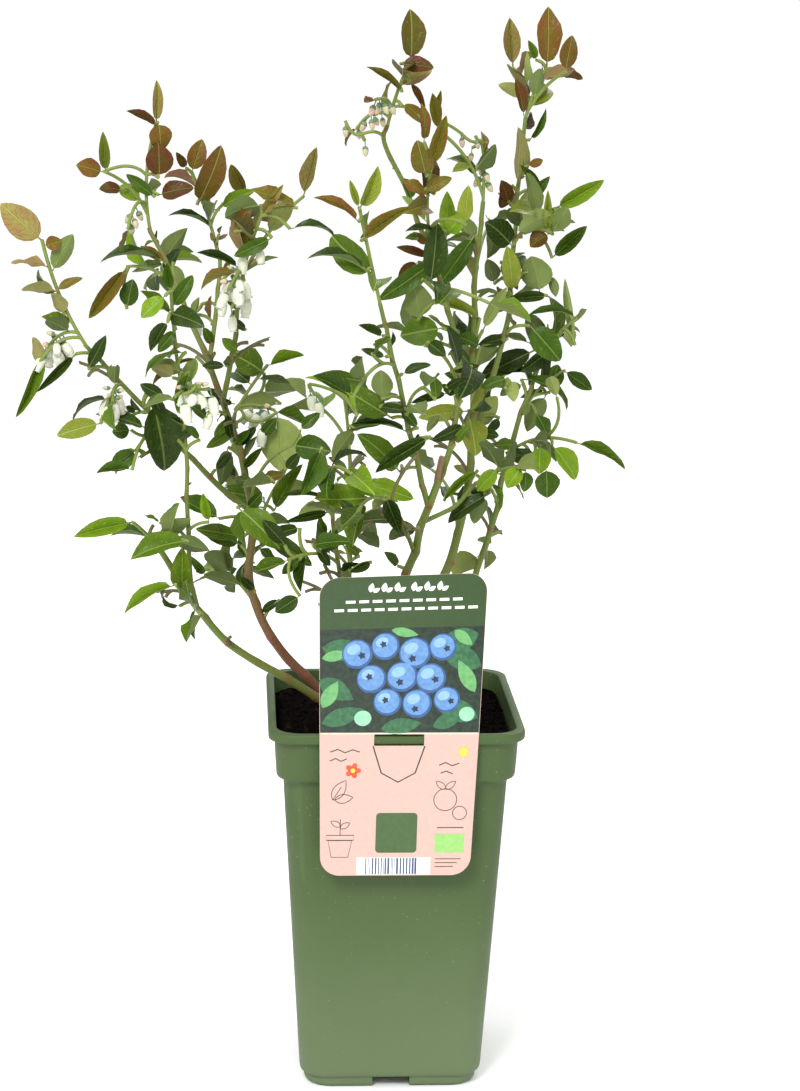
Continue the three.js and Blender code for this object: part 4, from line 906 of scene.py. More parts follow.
class Curve:
    """A smooth line that can be read by its own parameter or by its length."""

    def __init__(self, at: Callable[[float], Vector]) -> None:
        """Measures the line.

        Args:
            at: the point at a parameter from 0 to 1.
        """
        self.at = at
        points = [at(i / 200) for i in range(201)]
        steps = [(b - a).length for a, b in zip(points, points[1:])]
        self.lengths = np.concatenate(([0.0], np.cumsum(steps)))
        self.length = float(self.lengths[-1])

    def heading(self, t: float) -> Vector:
        """The direction at a parameter."""
        return (self.at(min(1, t + 1e-4)) - self.at(max(0, t - 1e-4))).normalized()

    def parameter(self, share: float) -> float:
        """The parameter at a share of the length."""
        return float(np.interp(share * self.length, self.lengths, np.linspace(0, 1, 201)))

    def point_by_length(self, share: float) -> Vector:
        """The point at a share of the length."""
        return self.at(self.parameter(share))

    def heading_by_length(self, share: float) -> Vector:
        """The direction at a share of the length."""
        return self.heading(self.parameter(share))


def through(points: Sequence[Vector]) -> Curve:
    """The line that bends evenly through points, as a limb does.

    Args:
        points: where it passes.

    Returns:
        The curve.
    """
    count = len(points)

    def at(t: float) -> Vector:
        """The point at a parameter."""
        place = (count - 1) * t
        i = min(int(place), count - 2)
        w = place - i
        p1, p2 = points[i], points[i + 1]
        p0 = points[i - 1] if i > 0 else 2 * points[0] - points[1]
        p3 = points[i + 2] if i + 2 < count else 2 * points[-1] - points[-2]
        m1, m2 = 0.5 * (p2 - p0), 0.5 * (p3 - p1)
        return (
            p1 + m1 * w + (-3 * p1 + 3 * p2 - 2 * m1 - m2) * w**2
            + (2 * p1 - 2 * p2 + m1 + m2) * w**3
        )

    return Curve(at)


def twig_curve(start: Vector, heading: Vector, tip: Vector) -> Curve:
    """A twig's line: it sets out half along its parent and half towards its tip.

    Args:
        start: where it forks.
        heading: its parent's direction there.
        tip: where it ends.

    Returns:
        The curve.
    """
    span = tip - start
    bend = (span.normalized() + heading).normalized()
    middle = start + bend * (0.5 * span.length)
    return Curve(lambda t: start * (1 - t) ** 2 + middle * (2 * t * (1 - t)) + tip * t**2)


def frame_of(axis: Vector, facing: Vector) -> Matrix:
    """The turn that lays Y along an axis and Z towards a face's outlook.

    Args:
        axis: where Y goes.
        facing: roughly where Z goes.

    Returns:
        The turn.
    """
    along = axis.normalized()
    side = along.cross(facing)
    if side.length < 0.05:
        side = along.cross(Vector((1, 0, 0)))
    side.normalize()
    return Matrix((side, along, side.cross(along))).transposed()


def leaning(along: Vector, turn: float, lean: float) -> tuple[Vector, Vector]:
    """The side of a line at a turn round it, and a direction that leans from the line to that side."""
    aside = frame_of(along, UP) @ Vector((math.cos(turn), 0, math.sin(turn)))
    return aside, (along * math.cos(lean) + aside * math.sin(lean)).normalized()


def drooping(turn: float, wide: float, rise: float) -> Vector:
    """A direction that goes so wide and so high at a turn about the vertical."""
    return Vector((math.cos(turn) * wide, math.sin(turn) * wide, rise)).normalized()


def reach_of(points: Sequence[Vector]) -> tuple[Vector, Vector]:
    """The lowest and the highest corner of the room that points take up."""
    return Vector(map(min, zip(*points))), Vector(map(max, zip(*points)))


class Crowd:
    """What has been placed so far, to keep new pieces clear of it."""

    def __init__(self) -> None:
        """Starts with nothing."""
        self.placed: list[tuple[Vector, Vector, BVHTree, str, bool]] = []

    def take(self, points: Sequence[Vector], faces: Faces, owner: str, is_twig: bool,
             fixed: bool = False) -> bool:
        """Places a body if it is free.

        Args:
            points: its corners.
            faces: its faces.
            owner: the mass or limb it belongs to.
            is_twig: whether it is a twig or limb, which its own leaves may touch.
            fixed: whether it is placed in any case.

        Returns:
            Whether it was placed.
        """
        low, high = reach_of(points)
        tree = BVHTree.FromPolygons(points, faces)
        if not fixed:
            for other_low, other_high, other_tree, other_owner, other_twig in self.placed:
                if (other_owner == owner or not other_owner) and (is_twig or other_twig):
                    continue
                if any(low[k] > other_high[k] or high[k] < other_low[k] for k in range(3)):
                    continue
                if tree.overlap(other_tree):
                    return False
        self.placed.append((low, high, tree, owner, is_twig))
        return True


def rod_faces(rings: int, sides: int) -> Faces:
    """The faces of a closed rod made of rings of corners: its skin, then its two ends."""
    skin = [
        (i * sides + k, i * sides + (k + 1) % sides, (i + 1) * sides + (k + 1) % sides, (i + 1) * sides + k)
        for i in range(rings - 1) for k in range(sides)
    ]
    return [*skin, tuple(reversed(range(sides))), tuple(range((rings - 1) * sides, rings * sides))]


def carried(across: Vector, along: Vector) -> tuple[Vector, Vector]:
    """The two directions across a line, the first carried on from the last place on it."""
    across = (across - along * across.dot(along)).normalized()
    return across, along.cross(across)


def tube(curve: Curve, radius: Callable[[float], float], sides: int, steps: int) -> Body:
    """A closed rod along a curve.

    Args:
        curve: its axis.
        radius: its radius at a share of its length.
        sides: how many sides it has.
        steps: how many lengths it is made of.

    Returns:
        Its corners and faces.
    """
    points: list[Vector] = []
    across = ACROSS
    for i in range(steps + 1):
        share = i / steps
        across, aside = carried(across, curve.heading_by_length(share))
        middle = curve.point_by_length(share)
        for k in range(sides):
            turn = 2 * math.pi * k / sides
            points.append(middle + (across * math.cos(turn) + aside * math.sin(turn)) * radius(share))
    return points, rod_faces(steps + 1, sides)


def leaf_body(point: Vector, turn: Matrix, length: float, width: float, clear: float) -> Body:
    """The eight-faced body that a leaf takes up.

    Args:
        point: where its stalk ends.
        turn: how it lies.
        length: its length.
        width: its width.
        clear: how much room is kept round it.

    Returns:
        The body's corners and faces.
    """
    half, low, high = 0.5 * width + clear, 0.42 * length, 0.45 * length
    sides = ((half, high, 0), (-half, high, 0), (0, low, 0.6), (0, low, -0.6))
    faces = [(0, 4, 2), (0, 3, 4), (1, 2, 4), (1, 4, 3), (0, 2, 5), (0, 5, 3), (1, 5, 2), (1, 3, 5)]
    return [point + turn @ Vector(p) for p in ((0, 1.5, 0), (0, length + clear, 0), *sides)], faces


Rod = tuple[Curve, float, float]


@dataclass
class LeafPlace:
    """Where one leaf grows."""

    point: Vector
    turn: Matrix
    length: float
    width: float
    form: int
    tint: Tint
    # how brightly the leaf is coloured: a low number darkens it as painted shade
    shade: float


@dataclass
class FlowerPlace:
    """Where one flower hangs."""

    point: Vector
    turn: Matrix
    size: float
    is_bud: bool


@dataclass
class Grown:
    """Everything that has grown on the limbs."""

    twigs: list[Rod] = field(default_factory=list)
    leaves: list[LeafPlace] = field(default_factory=list)
    flowers: list[FlowerPlace] = field(default_factory=list)
    scales: list[tuple[Vector, Matrix, float]] = field(default_factory=list)
    wisps: list[Rod] = field(default_factory=list)


class Sketch:
    """The front elevation on which single leaves are drawn, with its numbers counted down from the top."""

    def __init__(self) -> None:
        """Sets the sheet up as the stage sees it."""
        stage = Stage()
        self.right, self.up, self.back = stage.axes()
        self.eye = Vector(stage.target) + self.back * stage.distance
        self.middle = (SHEET[0] / 2, SHEET[1] / 2)
        self.reach = stage.lens / FILM * SHEET[1]
        self.kept: list[tuple[float, ...]] = []

    def spot(self, point: Vector) -> tuple[float, float]:
        """Where a point comes on the sheet."""
        way = point - self.eye
        share = self.reach / -way.dot(self.back)
        return self.middle[0] + share * way.dot(self.right), self.middle[1] - share * way.dot(self.up)

    def at(self, across: float, down: float, y: float) -> Vector:
        """The point at a depth that comes to a place on the sheet."""
        right, up = across - self.middle[0], self.middle[1] - down
        way = self.right * right + self.up * up - self.back * self.reach
        return self.eye + way * ((y - self.eye.y) / way.y)

    def keep(self, base: Vector, tip: Vector, half: float) -> None:
        """Notes a single leaf or flower that later leaves mustn't hide.

        Args:
            base: where it is held.
            tip: its other end.
            half: half the width that shows on the sheet.
        """
        one, other = Vector(self.spot(base)), Vector(self.spot(tip))
        along = (other - one) / 2
        reach = max(along.length, half)
        self.kept.append((*((one + other) / 2), *along.normalized(), reach, half, base.dot(self.back)))

    def is_clear(self, points: Sequence[Vector]) -> bool:
        """Finds out whether a leaf stands in no gap of sky and hides nothing that is kept.

        Args:
            points: spots on the leaf, its tip first.

        Returns:
            Whether that is so.
        """
        spots = np.array([self.spot(p) for p in points])
        gaps = np.array(SKY_GAPS)
        if (np.linalg.norm(spots[:, None] - gaps[:, :2], axis=2) < gaps[:, 2]).any():
            return False
        kept = np.array(self.kept)
        x, y = (spots[:, None, k] - kept[:, k] for k in (0, 1))
        along = (x * kept[:, 2] + y * kept[:, 3]) / kept[:, 4]
        across = (y * kept[:, 2] - x * kept[:, 3]) / kept[:, 5]
        covers = (along**2 + across**2 < 0.9).sum(axis=0) >= 2
        return not (covers & (kept[:, 6] < max(p.dot(self.back) for p in points))).any()


@dataclass
class Growth:
    """The rule by which the bush grows: limbs, stems, twigs, leaves and flowers."""

    soil_top: float = 203
    sunk: float = 4  # how far below the compost's top a cane starts
    leaf_shape: float = 0.41  # a leaf's width for its length
    leaf_cut: float = 0.86  # the rule's leaves are shorter than the solids' by this
    clear: float = 0.25  # the room that is kept round each body
    twig_root: float = 1.05
    twig_tip: float = 0.55
    overlap: float = 1.15  # how far inside its limb's end a stem starts that carries the limb on
    forks: tuple[float, float] = (0.14, 0.28)  # where a second twig forks: on such a stem, on others
    front: float = -98  # leaves that reach past this depth stand in any case
    crowd: Crowd = field(default_factory=Crowd)
    limbs: dict[str, Curve] = field(default_factory=dict)
    grown: Grown = field(default_factory=Grown)
    sketch: Sketch = field(default_factory=Sketch)
    seated: dict[int, float] = field(default_factory=dict)  # how far up each line single shoots grow

    def grow_limb(self, limb: Limb) -> None:
        """Lays out one cane or bough and keeps its room.

        Args:
            limb: its sizes.
        """
        if limb.source:
            start, bends = [self.limbs[limb.source].point_by_length(limb.at)], limb.path
        else:
            foot, *bends = limb.path
            start = [Vector((*foot, self.soil_top - self.sunk)), Vector((*foot, self.soil_top + 3))]
        curve = through([*start, *(Vector(p) for p in bends)])
        self.limbs[limb.name] = curve
        steps = max(6, round(curve.length / 12))
        rod = tube(curve, lambda s: limb.root + (limb.tip - limb.root) * s + self.clear, 8, steps)
        self.crowd.take(*rod, limb.name, True, fixed=True)

    def stem_of(self, mass: Mass) -> tuple[Curve, float]:
        """Lays out the stem of a mass.

        Args:
            mass: its sizes.

        Returns:
            The stem and the share of it where its second twig forks.
        """
        limb = self.limbs[mass.limb]
        heading = limb.heading_by_length(mass.at)
        carries_on = mass.at == 1
        start = limb.point_by_length(mass.at) - heading * (self.overlap if carries_on else 0)
        curve = twig_curve(start, heading, Vector(mass.twigs[0].tip))
        self.keep_twig(curve, self.twig_root, self.twig_tip, mass.name, fixed=True)
        return curve, self.forks[0 if carries_on else 1]

    def keep_twig(self, curve: Curve, root: float, tip: float, owner: str, fixed: bool = False) -> bool:
        """Places a twig if it is free.

        Args:
            curve: its axis.
            root: its radius at the root.
            tip: its radius at the tip.
            owner: its mass.
            fixed: whether it is placed in any case.

        Returns:
            Whether it was placed.
        """
        rod = tube(curve, lambda s: root + (tip - root) * s + self.clear, 5, 6)
        if not self.crowd.take(*rod, owner, True, fixed):
            return False
        self.grown.twigs.append((curve, 0.9 * root, 0.75 * tip))
        return True

    def trim(self, curve: Curve, reach: float) -> None:
        """Ends a twig where it bears its last leaf, or takes it away where it bears nothing.

        Args:
            curve: the twig's axis.
            reach: how far up it the last leaf or fork stands.
        """
        reach = max(reach, self.seated.get(id(curve), 0.0))
        place = next(i for i, twig in enumerate(self.grown.twigs) if twig[0] is curve)
        _, root, tip = self.grown.twigs.pop(place)
        if reach > 0:
            end = min(1.0, reach + 0.02)
            self.grown.twigs.insert(place, (Curve(lambda t: curve.at(t * end)), root, tip))

    def add_leaf(self, mass: Mass, point: Vector, axis: Vector, facing: Vector, length: float, share: float,
                 paint: Run, slim: float = 1.0, twig: Twig | None = None) -> bool:
        """Places a leaf if it is free.

        Args:
            mass: the mass it belongs to.
            point: where it leaves its twig.
            axis: its direction.
            facing: where its upper side looks.
            length: its length with its stalk.
            share: how far along its twig it stands, for its tint.
            paint: the run that its looks are drawn from.
            slim: its width against a common one's.
            twig: the twig that it ends, where its width and tint are given.

        Returns:
            Whether it was placed.
        """
        turn = frame_of(axis, facing)
        length *= 1 if twig else self.leaf_cut
        width = self.leaf_shape * length * slim * (0.8 + 0.4 * paint())
        if twig and twig.wide:
            width = twig.wide * length
        spots = [point + turn @ Vector((x * width, y * length, 0)) for x, y in LEAF_SPOTS]
        if not (twig or spots[0].y < self.front or self.sketch.is_clear(spots)):
            return False
        body = leaf_body(point, turn, length, width, self.clear)
        if not self.crowd.take(*body, mass.name, False, fixed=twig is not None):
            return False
        form, tint = self.looks(mass.tone, share, paint)
        if twig and twig.wide:
            form, tint = (0 if twig.wide > 0.45 else 7 if twig.wide < 0.32 else form), twig.tint or tint
        # The last number, drawn at random, is the leaf's shade: how far its finish darkens it as painted
        # shade.
        self.grown.leaves.append(LeafPlace(point, turn, length, width, form, tint, paint()))
        return True

    @staticmethod
    def looks(tone: Tone, share: float, paint: Run) -> tuple[int, Tint]:
        """The form and tint of a leaf.

        Args:
            tone: how far its mass has turned.
            share: how far along its twig it stands.
            paint: the run that they are drawn from.

        Returns:
            The number of its form and its tint.
        """
        draw, pick = paint(), paint()
        young = share + 0.4 * (draw - 0.5)
        is_tip = young > 0.72 or tone in TURNING and young > 0.5
        form = YOUNG_FORMS[int(pick * len(YOUNG_FORMS))] if is_tip else int(pick * len(LEAF_FORMS))
        deal = paint()
        hand = next(hand for tones, least, hand in DEALS if tone in tones and young > least)
        return form, next(LETTERS[letter] for letter, share in hand.items() if deal < share)

    @staticmethod
    def facing_at(point: Vector, axis: Vector, roll: float) -> Vector:
        """Where a leaf looks: up and out of the bush, give or take a seeded roll."""
        out = Quaternion(UP, 2 * roll) @ Vector((point.x, point.y, 0)).normalized()
        return Quaternion(axis, roll) @ (out * 0.8 + UP * 0.5)

    def leaves_along(self, mass: Mass, curve: Curve, twig: Twig, draw: Run, paint: Run) -> float:
        """Sets the leaves of one twig round it in a spiral; the last one carries it on to its end.

        Args:
            mass: the mass the twig belongs to.
            curve: the twig's axis.
            twig: its sizes.
            draw: the run that places them.
            paint: the run that their looks are drawn from.

        Returns:
            How far up the twig its last leaf stands.
        """
        reached = 0.0
        first = draw() * 2 * math.pi
        for i in range(twig.leaves):
            last = i == twig.leaves - 1
            share = 0.99 if last else 0.2 + (0.74 * (i + 0.4 * draw())) / twig.leaves
            turn = first + i * SPIRAL + 0.5 * (draw() - 0.5)
            lean = 0.12 if last else math.radians(48) + math.radians(26) * draw()
            length = twig.leaf * (0.78 + 0.34 * draw())
            length = length * (1 if last else 0.8 + 0.25 * math.sin(math.pi * share))
            roll = 1.2 * (draw() - 0.5)
            point, along = curve.at(share), curve.heading(share)
            aside, axis = leaning(along, turn, lean)
            if last and twig.end:
                reach = Vector(twig.end) - point
                way = reach.normalized()
                outlook = Quaternion(way, paint() - 0.5) @ LIGHT
                self.add_leaf(mass, point, way, outlook, reach.length, 1.0, paint, twig=twig)
                return 1.0
            facing = self.facing_at(point, axis, roll)
            if self.add_leaf(mass, point, axis, facing, length * 1.08, share, paint):
                reached = share
                if not last:
                    self.grown.scales.append((point, frame_of(along, aside), 0.8))
                    self.fine_leaf(mass, point, along, aside, length, share, paint)
        return reached

    def fine_leaf(self, mass: Mass, point: Vector, along: Vector, aside: Vector, length: float, share: float,
                  paint: Run) -> None:
        """Adds a small leaf beside most leaves of a full mass, as on the short shoots in its axil.

        Args:
            mass: the mass it belongs to.
            point: where the leaf stands.
            along: the twig's direction.
            aside: the leaf's side of the twig.
            length: the leaf's length.
            share: how far along the twig it stands.
            paint: the run that places it.
        """
        if mass.name not in FULL_MASSES or paint() >= 0.7:
            return
        out = Quaternion(along, 2.4 * (paint() - 0.5) + math.pi * (paint() < 0.5)) @ aside
        axis = (along * (0.5 + 0.5 * paint()) + out).normalized()
        size = length * (0.42 + 0.3 * paint())
        spot = point + along * (3 * (paint() - 0.5))
        facing = self.facing_at(spot, axis, 1.2 * (paint() - 0.5))
        self.add_leaf(mass, spot, axis, facing, size, share - 0.15, paint, 0.9)

    def flowers_along(self, mass: Mass, curve: Curve, count: int, draw: Run, paint: Run) -> None:
        """Hangs the flowers of one twig under its outer half.

        Args:
            mass: the mass the twig belongs to.
            curve: the twig's axis.
            count: how many flowers the rule gives.
            draw: the run that places them.
            paint: the run that finer ones are placed by.
        """
        in_bud = mass.tone in TURNING and "top" in mass.name and "far" not in mass.name
        for i in range(count):
            share = 0.5 + (0.5 * (i + 0.5)) / count
            turn = i * SPIRAL + draw()
            size = 0.8 if in_bud else 1.0
            axis = drooping(turn, 0.35 + 0.5 * draw(), -1)
            self.hang(curve.at(share), axis, size * (0.9 + 0.2 * paint()), in_bud, mass.name)
            if count > 3 and not in_bud:
                twist = turn + 2.1 + paint()
                wide = 0.5 + 0.7 * paint()
                young = paint() < 0.7
                axis = drooping(twist, wide, (0.25 if young else -0.9) - 0.3 * paint())
                small = (0.62 if young else 0.92) * (0.85 + 0.25 * paint())
                self.hang(curve.at(min(1, share - 0.025)), axis, small, young, mass.name)

    def hang(self, point: Vector, axis: Vector, size: float, is_bud: bool, owner: str) -> None:
        """Hangs one flower of a mass if it is free.

        Args:
            point: where its stalk leaves the twig.
            axis: where it hangs.
            size: its size against a common one's.
            is_bud: whether it is still closed.
            owner: the mass's name.
        """
        turn = frame_of(axis, UP)
        ring = [(2.1 * math.cos(k * math.pi / 2), 8.5, 2.1 * math.sin(k * math.pi / 2)) for k in range(4)]
        points = [point + turn @ Vector(p) * size for p in ((0, 5, 0), *ring, (0, 12, 0))]
        sides = [(1 + k, 1 + (k + 1) % 4) for k in range(4)]
        faces = [(0, a, b) for a, b in sides] + [(5, b, a) for a, b in sides]
        if self.crowd.take(points, faces, owner, False):
            self.grown.flowers.append(FlowerPlace(point, turn, size, is_bud))

    def grow_mass(self, mass: Mass, stem: Curve, first_fork: float) -> None:
        """Grows the twigs, leaves and flowers of one mass.

        Args:
            mass: its sizes.
            stem: its stem.
            first_fork: the share of the stem where the second twig forks.
        """
        draw, paint = Run(mass.name), Run(mass.name + " finer")

        def dress(curve: Curve, twig: Twig, least: float = 0.0) -> None:
            """Gives one twig its leaves and flowers and ends it at the last of them."""
            reached = self.leaves_along(mass, curve, twig, draw, paint)
            self.flowers_along(mass, curve, twig.bells, draw, paint)
            self.trim(curve, 1.0 if twig.bells else max(reached, least))

        dress(stem, mass.twigs[0], 0.6 if mass.sprigs else first_fork + 0.1 * (len(mass.twigs) - 2))
        for i, twig in enumerate(mass.twigs[1:]):
            fork = first_fork + 0.1 * i
            curve = twig_curve(stem.at(fork), stem.heading(fork), Vector(twig.tip))
            if self.keep_twig(curve, self.twig_root * 0.9, self.twig_tip, mass.name):
                dress(curve, twig)
        for _ in range(mass.sprigs):
            fork = 0.4 + 0.2 * draw()
            along = stem.heading(fork)
            turn = draw() * 2 * math.pi
            out = (frame_of(along, UP) @ Vector((math.cos(turn), 0.5, math.sin(turn)))).normalized()
            curve = twig_curve(stem.at(fork), along, stem.at(fork) + out * (24 + 14 * draw()))
            if self.keep_twig(curve, self.twig_tip, self.twig_tip * 0.8, mass.name):
                dress(curve, Twig((0, 0, 0), 3, mass.twigs[0].leaf * 0.85))

    def clothe(self, cloth: Clothing) -> None:
        """Sets small leaves, and here and there a short shoot, along a limb.

        Args:
            cloth: which stretch of which limb, and how close and long its leaves are.
        """
        limb, spec = self.limbs[cloth.limb], next(limb for limb in LIMBS if limb.name == cloth.limb)
        owner = Mass(cloth.limb, cloth.limb, 1, (), 0, cloth.tone)
        run, paint = Run(cloth.limb + " leaves"), Run(cloth.limb + " looks")
        place, turn = cloth.low * limb.length, 6.3 * run()
        while place < cloth.high * limb.length:
            share = place / limb.length
            point, along = limb.point_by_length(share), limb.heading_by_length(share)
            turn += SPIRAL + 0.5 * (run() - 0.5)
            aside, axis = leaning(along, turn, math.radians(40 + 30 * run()))
            size = cloth.leaf * (0.65 + 0.6 * run())
            skin = aside * (spec.root + (spec.tip - spec.root) * share)
            self.grown.scales.append((point + skin * 0.8, frame_of(axis, UP), 1.1))
            if run() < 0.4:
                self.short_shoot(owner, point, along, axis, size, paint)
            else:
                facing = self.facing_at(point, axis, 1.2 * (run() - 0.5))
                self.add_leaf(owner, point + skin * 0.7, axis, facing, size, share * 0.8, paint, 0.9)
            place += cloth.step * (0.7 + 0.6 * run())

    def short_shoot(self, owner: Mass, point: Vector, along: Vector, axis: Vector, size: float,
                    paint: Run) -> None:
        """Grows a short thin shoot with three or four small leaves.

        Args:
            owner: what it belongs to.
            point: where it leaves its limb.
            along: the limb's direction.
            axis: the shoot's direction.
            size: its leaves' length.
            paint: the run that it is drawn from.
        """
        curve = twig_curve(point, along, point + axis * size * (0.8 + 0.6 * paint()))
        if not self.keep_twig(curve, 0.7, 0.4, owner.name):
            return
        turn = 6.3 * paint()
        count = 3 + (paint() < 0.5)
        reached = 0.0
        for i in range(count):
            last = i == count - 1
            share = 0.99 if last else 0.35 + 0.5 * i / count
            turn += SPIRAL
            _, way = leaning(curve.heading(share), turn, 0.25 if last else 0.8 + 0.4 * paint())
            spot = curve.at(share)
            facing = self.facing_at(spot, way, 1.2 * (paint() - 0.5))
            length = size * (0.7 + 0.4 * paint())
            if self.add_leaf(owner, spot, way, facing, length, 0.45 + 0.4 * share, paint, 0.9):
                reached = share
        self.trim(curve, reached)

    def seat(self, across: float, down: float) -> tuple[Curve, float, Vector]:
        """The limb or twig that a single shoot on the elevation grows from.

        Args:
            across: where the shoot ends on it.
            down: how far down that is.

        Returns:
            The line it grows from, the parameter there and the shoot's end.
        """
        best = None
        for curve in [*self.limbs.values(), *(twig[0] for twig in self.grown.twigs)]:
            for i in range(4, 41):
                point = curve.at(i / 40)
                u, v = self.sketch.spot(point)
                cost = math.hypot(u - across, v - down + 6) + 0.04 * point.y
                if best is None or cost < best[0]:
                    best = (cost, curve, i / 40, point)
        _, curve, t, point = best
        self.seated[id(curve)] = max(t, self.seated.get(id(curve), 0.0))
        return curve, t, self.sketch.at(across, down, point.y - 2)

    def keep_ends(self) -> None:
        """Notes the leaves that end the masses' twigs where their place is given."""
        for twig in (twig for mass in MASSES for twig in mass.twigs if twig.end):
            tip, end = Vector(twig.tip), Vector(twig.end)
            self.sketch.keep(tip, end, 0.9 * twig.wide * (end - tip).length)

    def loose(self) -> None:
        """Sets the single leaves of the elevation, each on a fine shoot from what is nearest behind it."""
        sketch, paint, shoots = self.sketch, Run("loose leaves"), []
        for across, down, tip_across, tip_down, wide, kind in LOOSE_LEAVES:
            curve, t, base = self.seat(across, down)
            start = curve.at(max(0.0, t - 0.04))
            if (base - start).length > 3:
                shoots.append((twig_curve(start, curve.heading(t), base), 0.5, 0.32))
            tip = sketch.at(tip_across, tip_down, base.y - 5 + 8 * paint())
            axis = tip - base
            tint, look = LETTERS[kind[0]], kind[1:]
            facing = {"": LIGHT, "u": Vector((0.1, 0.75, 0.65)), "a": Vector((0.0, -0.55, 0.83))}[look]
            turn = frame_of(axis, Quaternion(axis.normalized(), 0.7 * (paint() - 0.5)) @ facing)
            shown = max(0.68, abs((turn @ UP).dot(sketch.back)))
            width = min(0.85 * axis.length, (0.7 if look == "a" else 1) * wide / SHEET_SCALE / shown)
            is_slim = width < 0.3 * axis.length
            stock = (1, 3) if look == "a" else (7,) if is_slim else (0, 5) if look == "u" else (0, 2, 4, 5)
            form = stock[int(paint() * len(stock))]
            self.crowd.take(*leaf_body(base, turn, axis.length, width, 0), "", False, fixed=True)
            # The shade number darkens a leaf as painted shade; light and yellow leaves are kept nearly
            # unshaded.
            shade = max(0.3 + 0.7 * paint(), 0.85 if tint in (Tint.LIGHT, Tint.YELLOW) else 0.0)
            self.grown.leaves.append(LeafPlace(base, turn, axis.length, width, form, tint, shade))
            sketch.keep(base, tip, wide / 2)
        self.grown.twigs += shoots

    def loose_bells(self) -> None:
        """Hangs the flowers of the single flowering shoots, each on a fine stalk of its own."""
        paint, stalks = Run("loose bells"), []
        for across, down, mouths, in_bud in LOOSE_BELLS:
            curve, t, end = self.seat(across, down)
            stalks.append((twig_curve(curve.at(max(0.0, t - 0.03)), curve.heading(t), end), 0.62, 0.5))
            for mouth_across, mouth_down in mouths:
                size = (0.74 if in_bud else 0.98) * (0.9 + 0.2 * paint())
                mouth = self.sketch.at(mouth_across, mouth_down, end.y - 5 + 8 * paint())
                axis = Vector((0.5 * (paint() - 0.5), -0.35 * paint(), -1)).normalized()
                base = mouth - axis * (13.8 * size)
                stalks.append((twig_curve(end, -UP, base), 0.46, 0.4))
                self.grown.flowers.append(FlowerPlace(base, frame_of(axis, UP), size, in_bud))
                self.sketch.keep(base, mouth, 6 * size)
        self.grown.twigs += stalks

    def wisps(self) -> None:
        """Grows thin bare twigs on the older wood and in the middle of the bush."""
        run, wisps = Run("wisps"), self.grown.wisps
        for name, low, high, count in WISPS:
            curve = self.limbs[name]
            for _ in range(count):
                share = low + (high - low) * run()
                along = curve.heading_by_length(share)
                spin = 6.3 * run()
                out = frame_of(along, UP) @ Vector((math.cos(spin), 0.5 + 0.5 * run(), math.sin(spin)))
                start = curve.point_by_length(share)
                reach = 12 + 24 * run()
                main = twig_curve(start, along, start + out.normalized() * reach)
                fork, way = main.at(0.6), main.heading(0.6)
                side = Quaternion(way, 6.3 * run()) @ way.orthogonal().normalized()
                short = twig_curve(fork, way, fork + (side + way) * reach * 0.24)
                wisps += [(main, 0.36, 0.2), (short, 0.26, 0.16)]
                self.grown.scales.append((main.at(1), frame_of(main.heading(1), UP), 0.7))

    def grow(self) -> Grown:
        """Grows the whole bush."""
        for limb in LIMBS:
            self.grow_limb(limb)
        stems = [self.stem_of(mass) for mass in MASSES]
        self.loose_bells()
        self.loose()
        self.keep_ends()
        for mass, (stem, fork) in zip(MASSES, stems):
            self.grow_mass(mass, stem, fork)
        for cloth in CLOTHING:
            self.clothe(cloth)
        self.wisps()
        for kind, things in vars(self.grown).items():
            log.info("grown %s: %d", kind, len(things))
        return self.grown


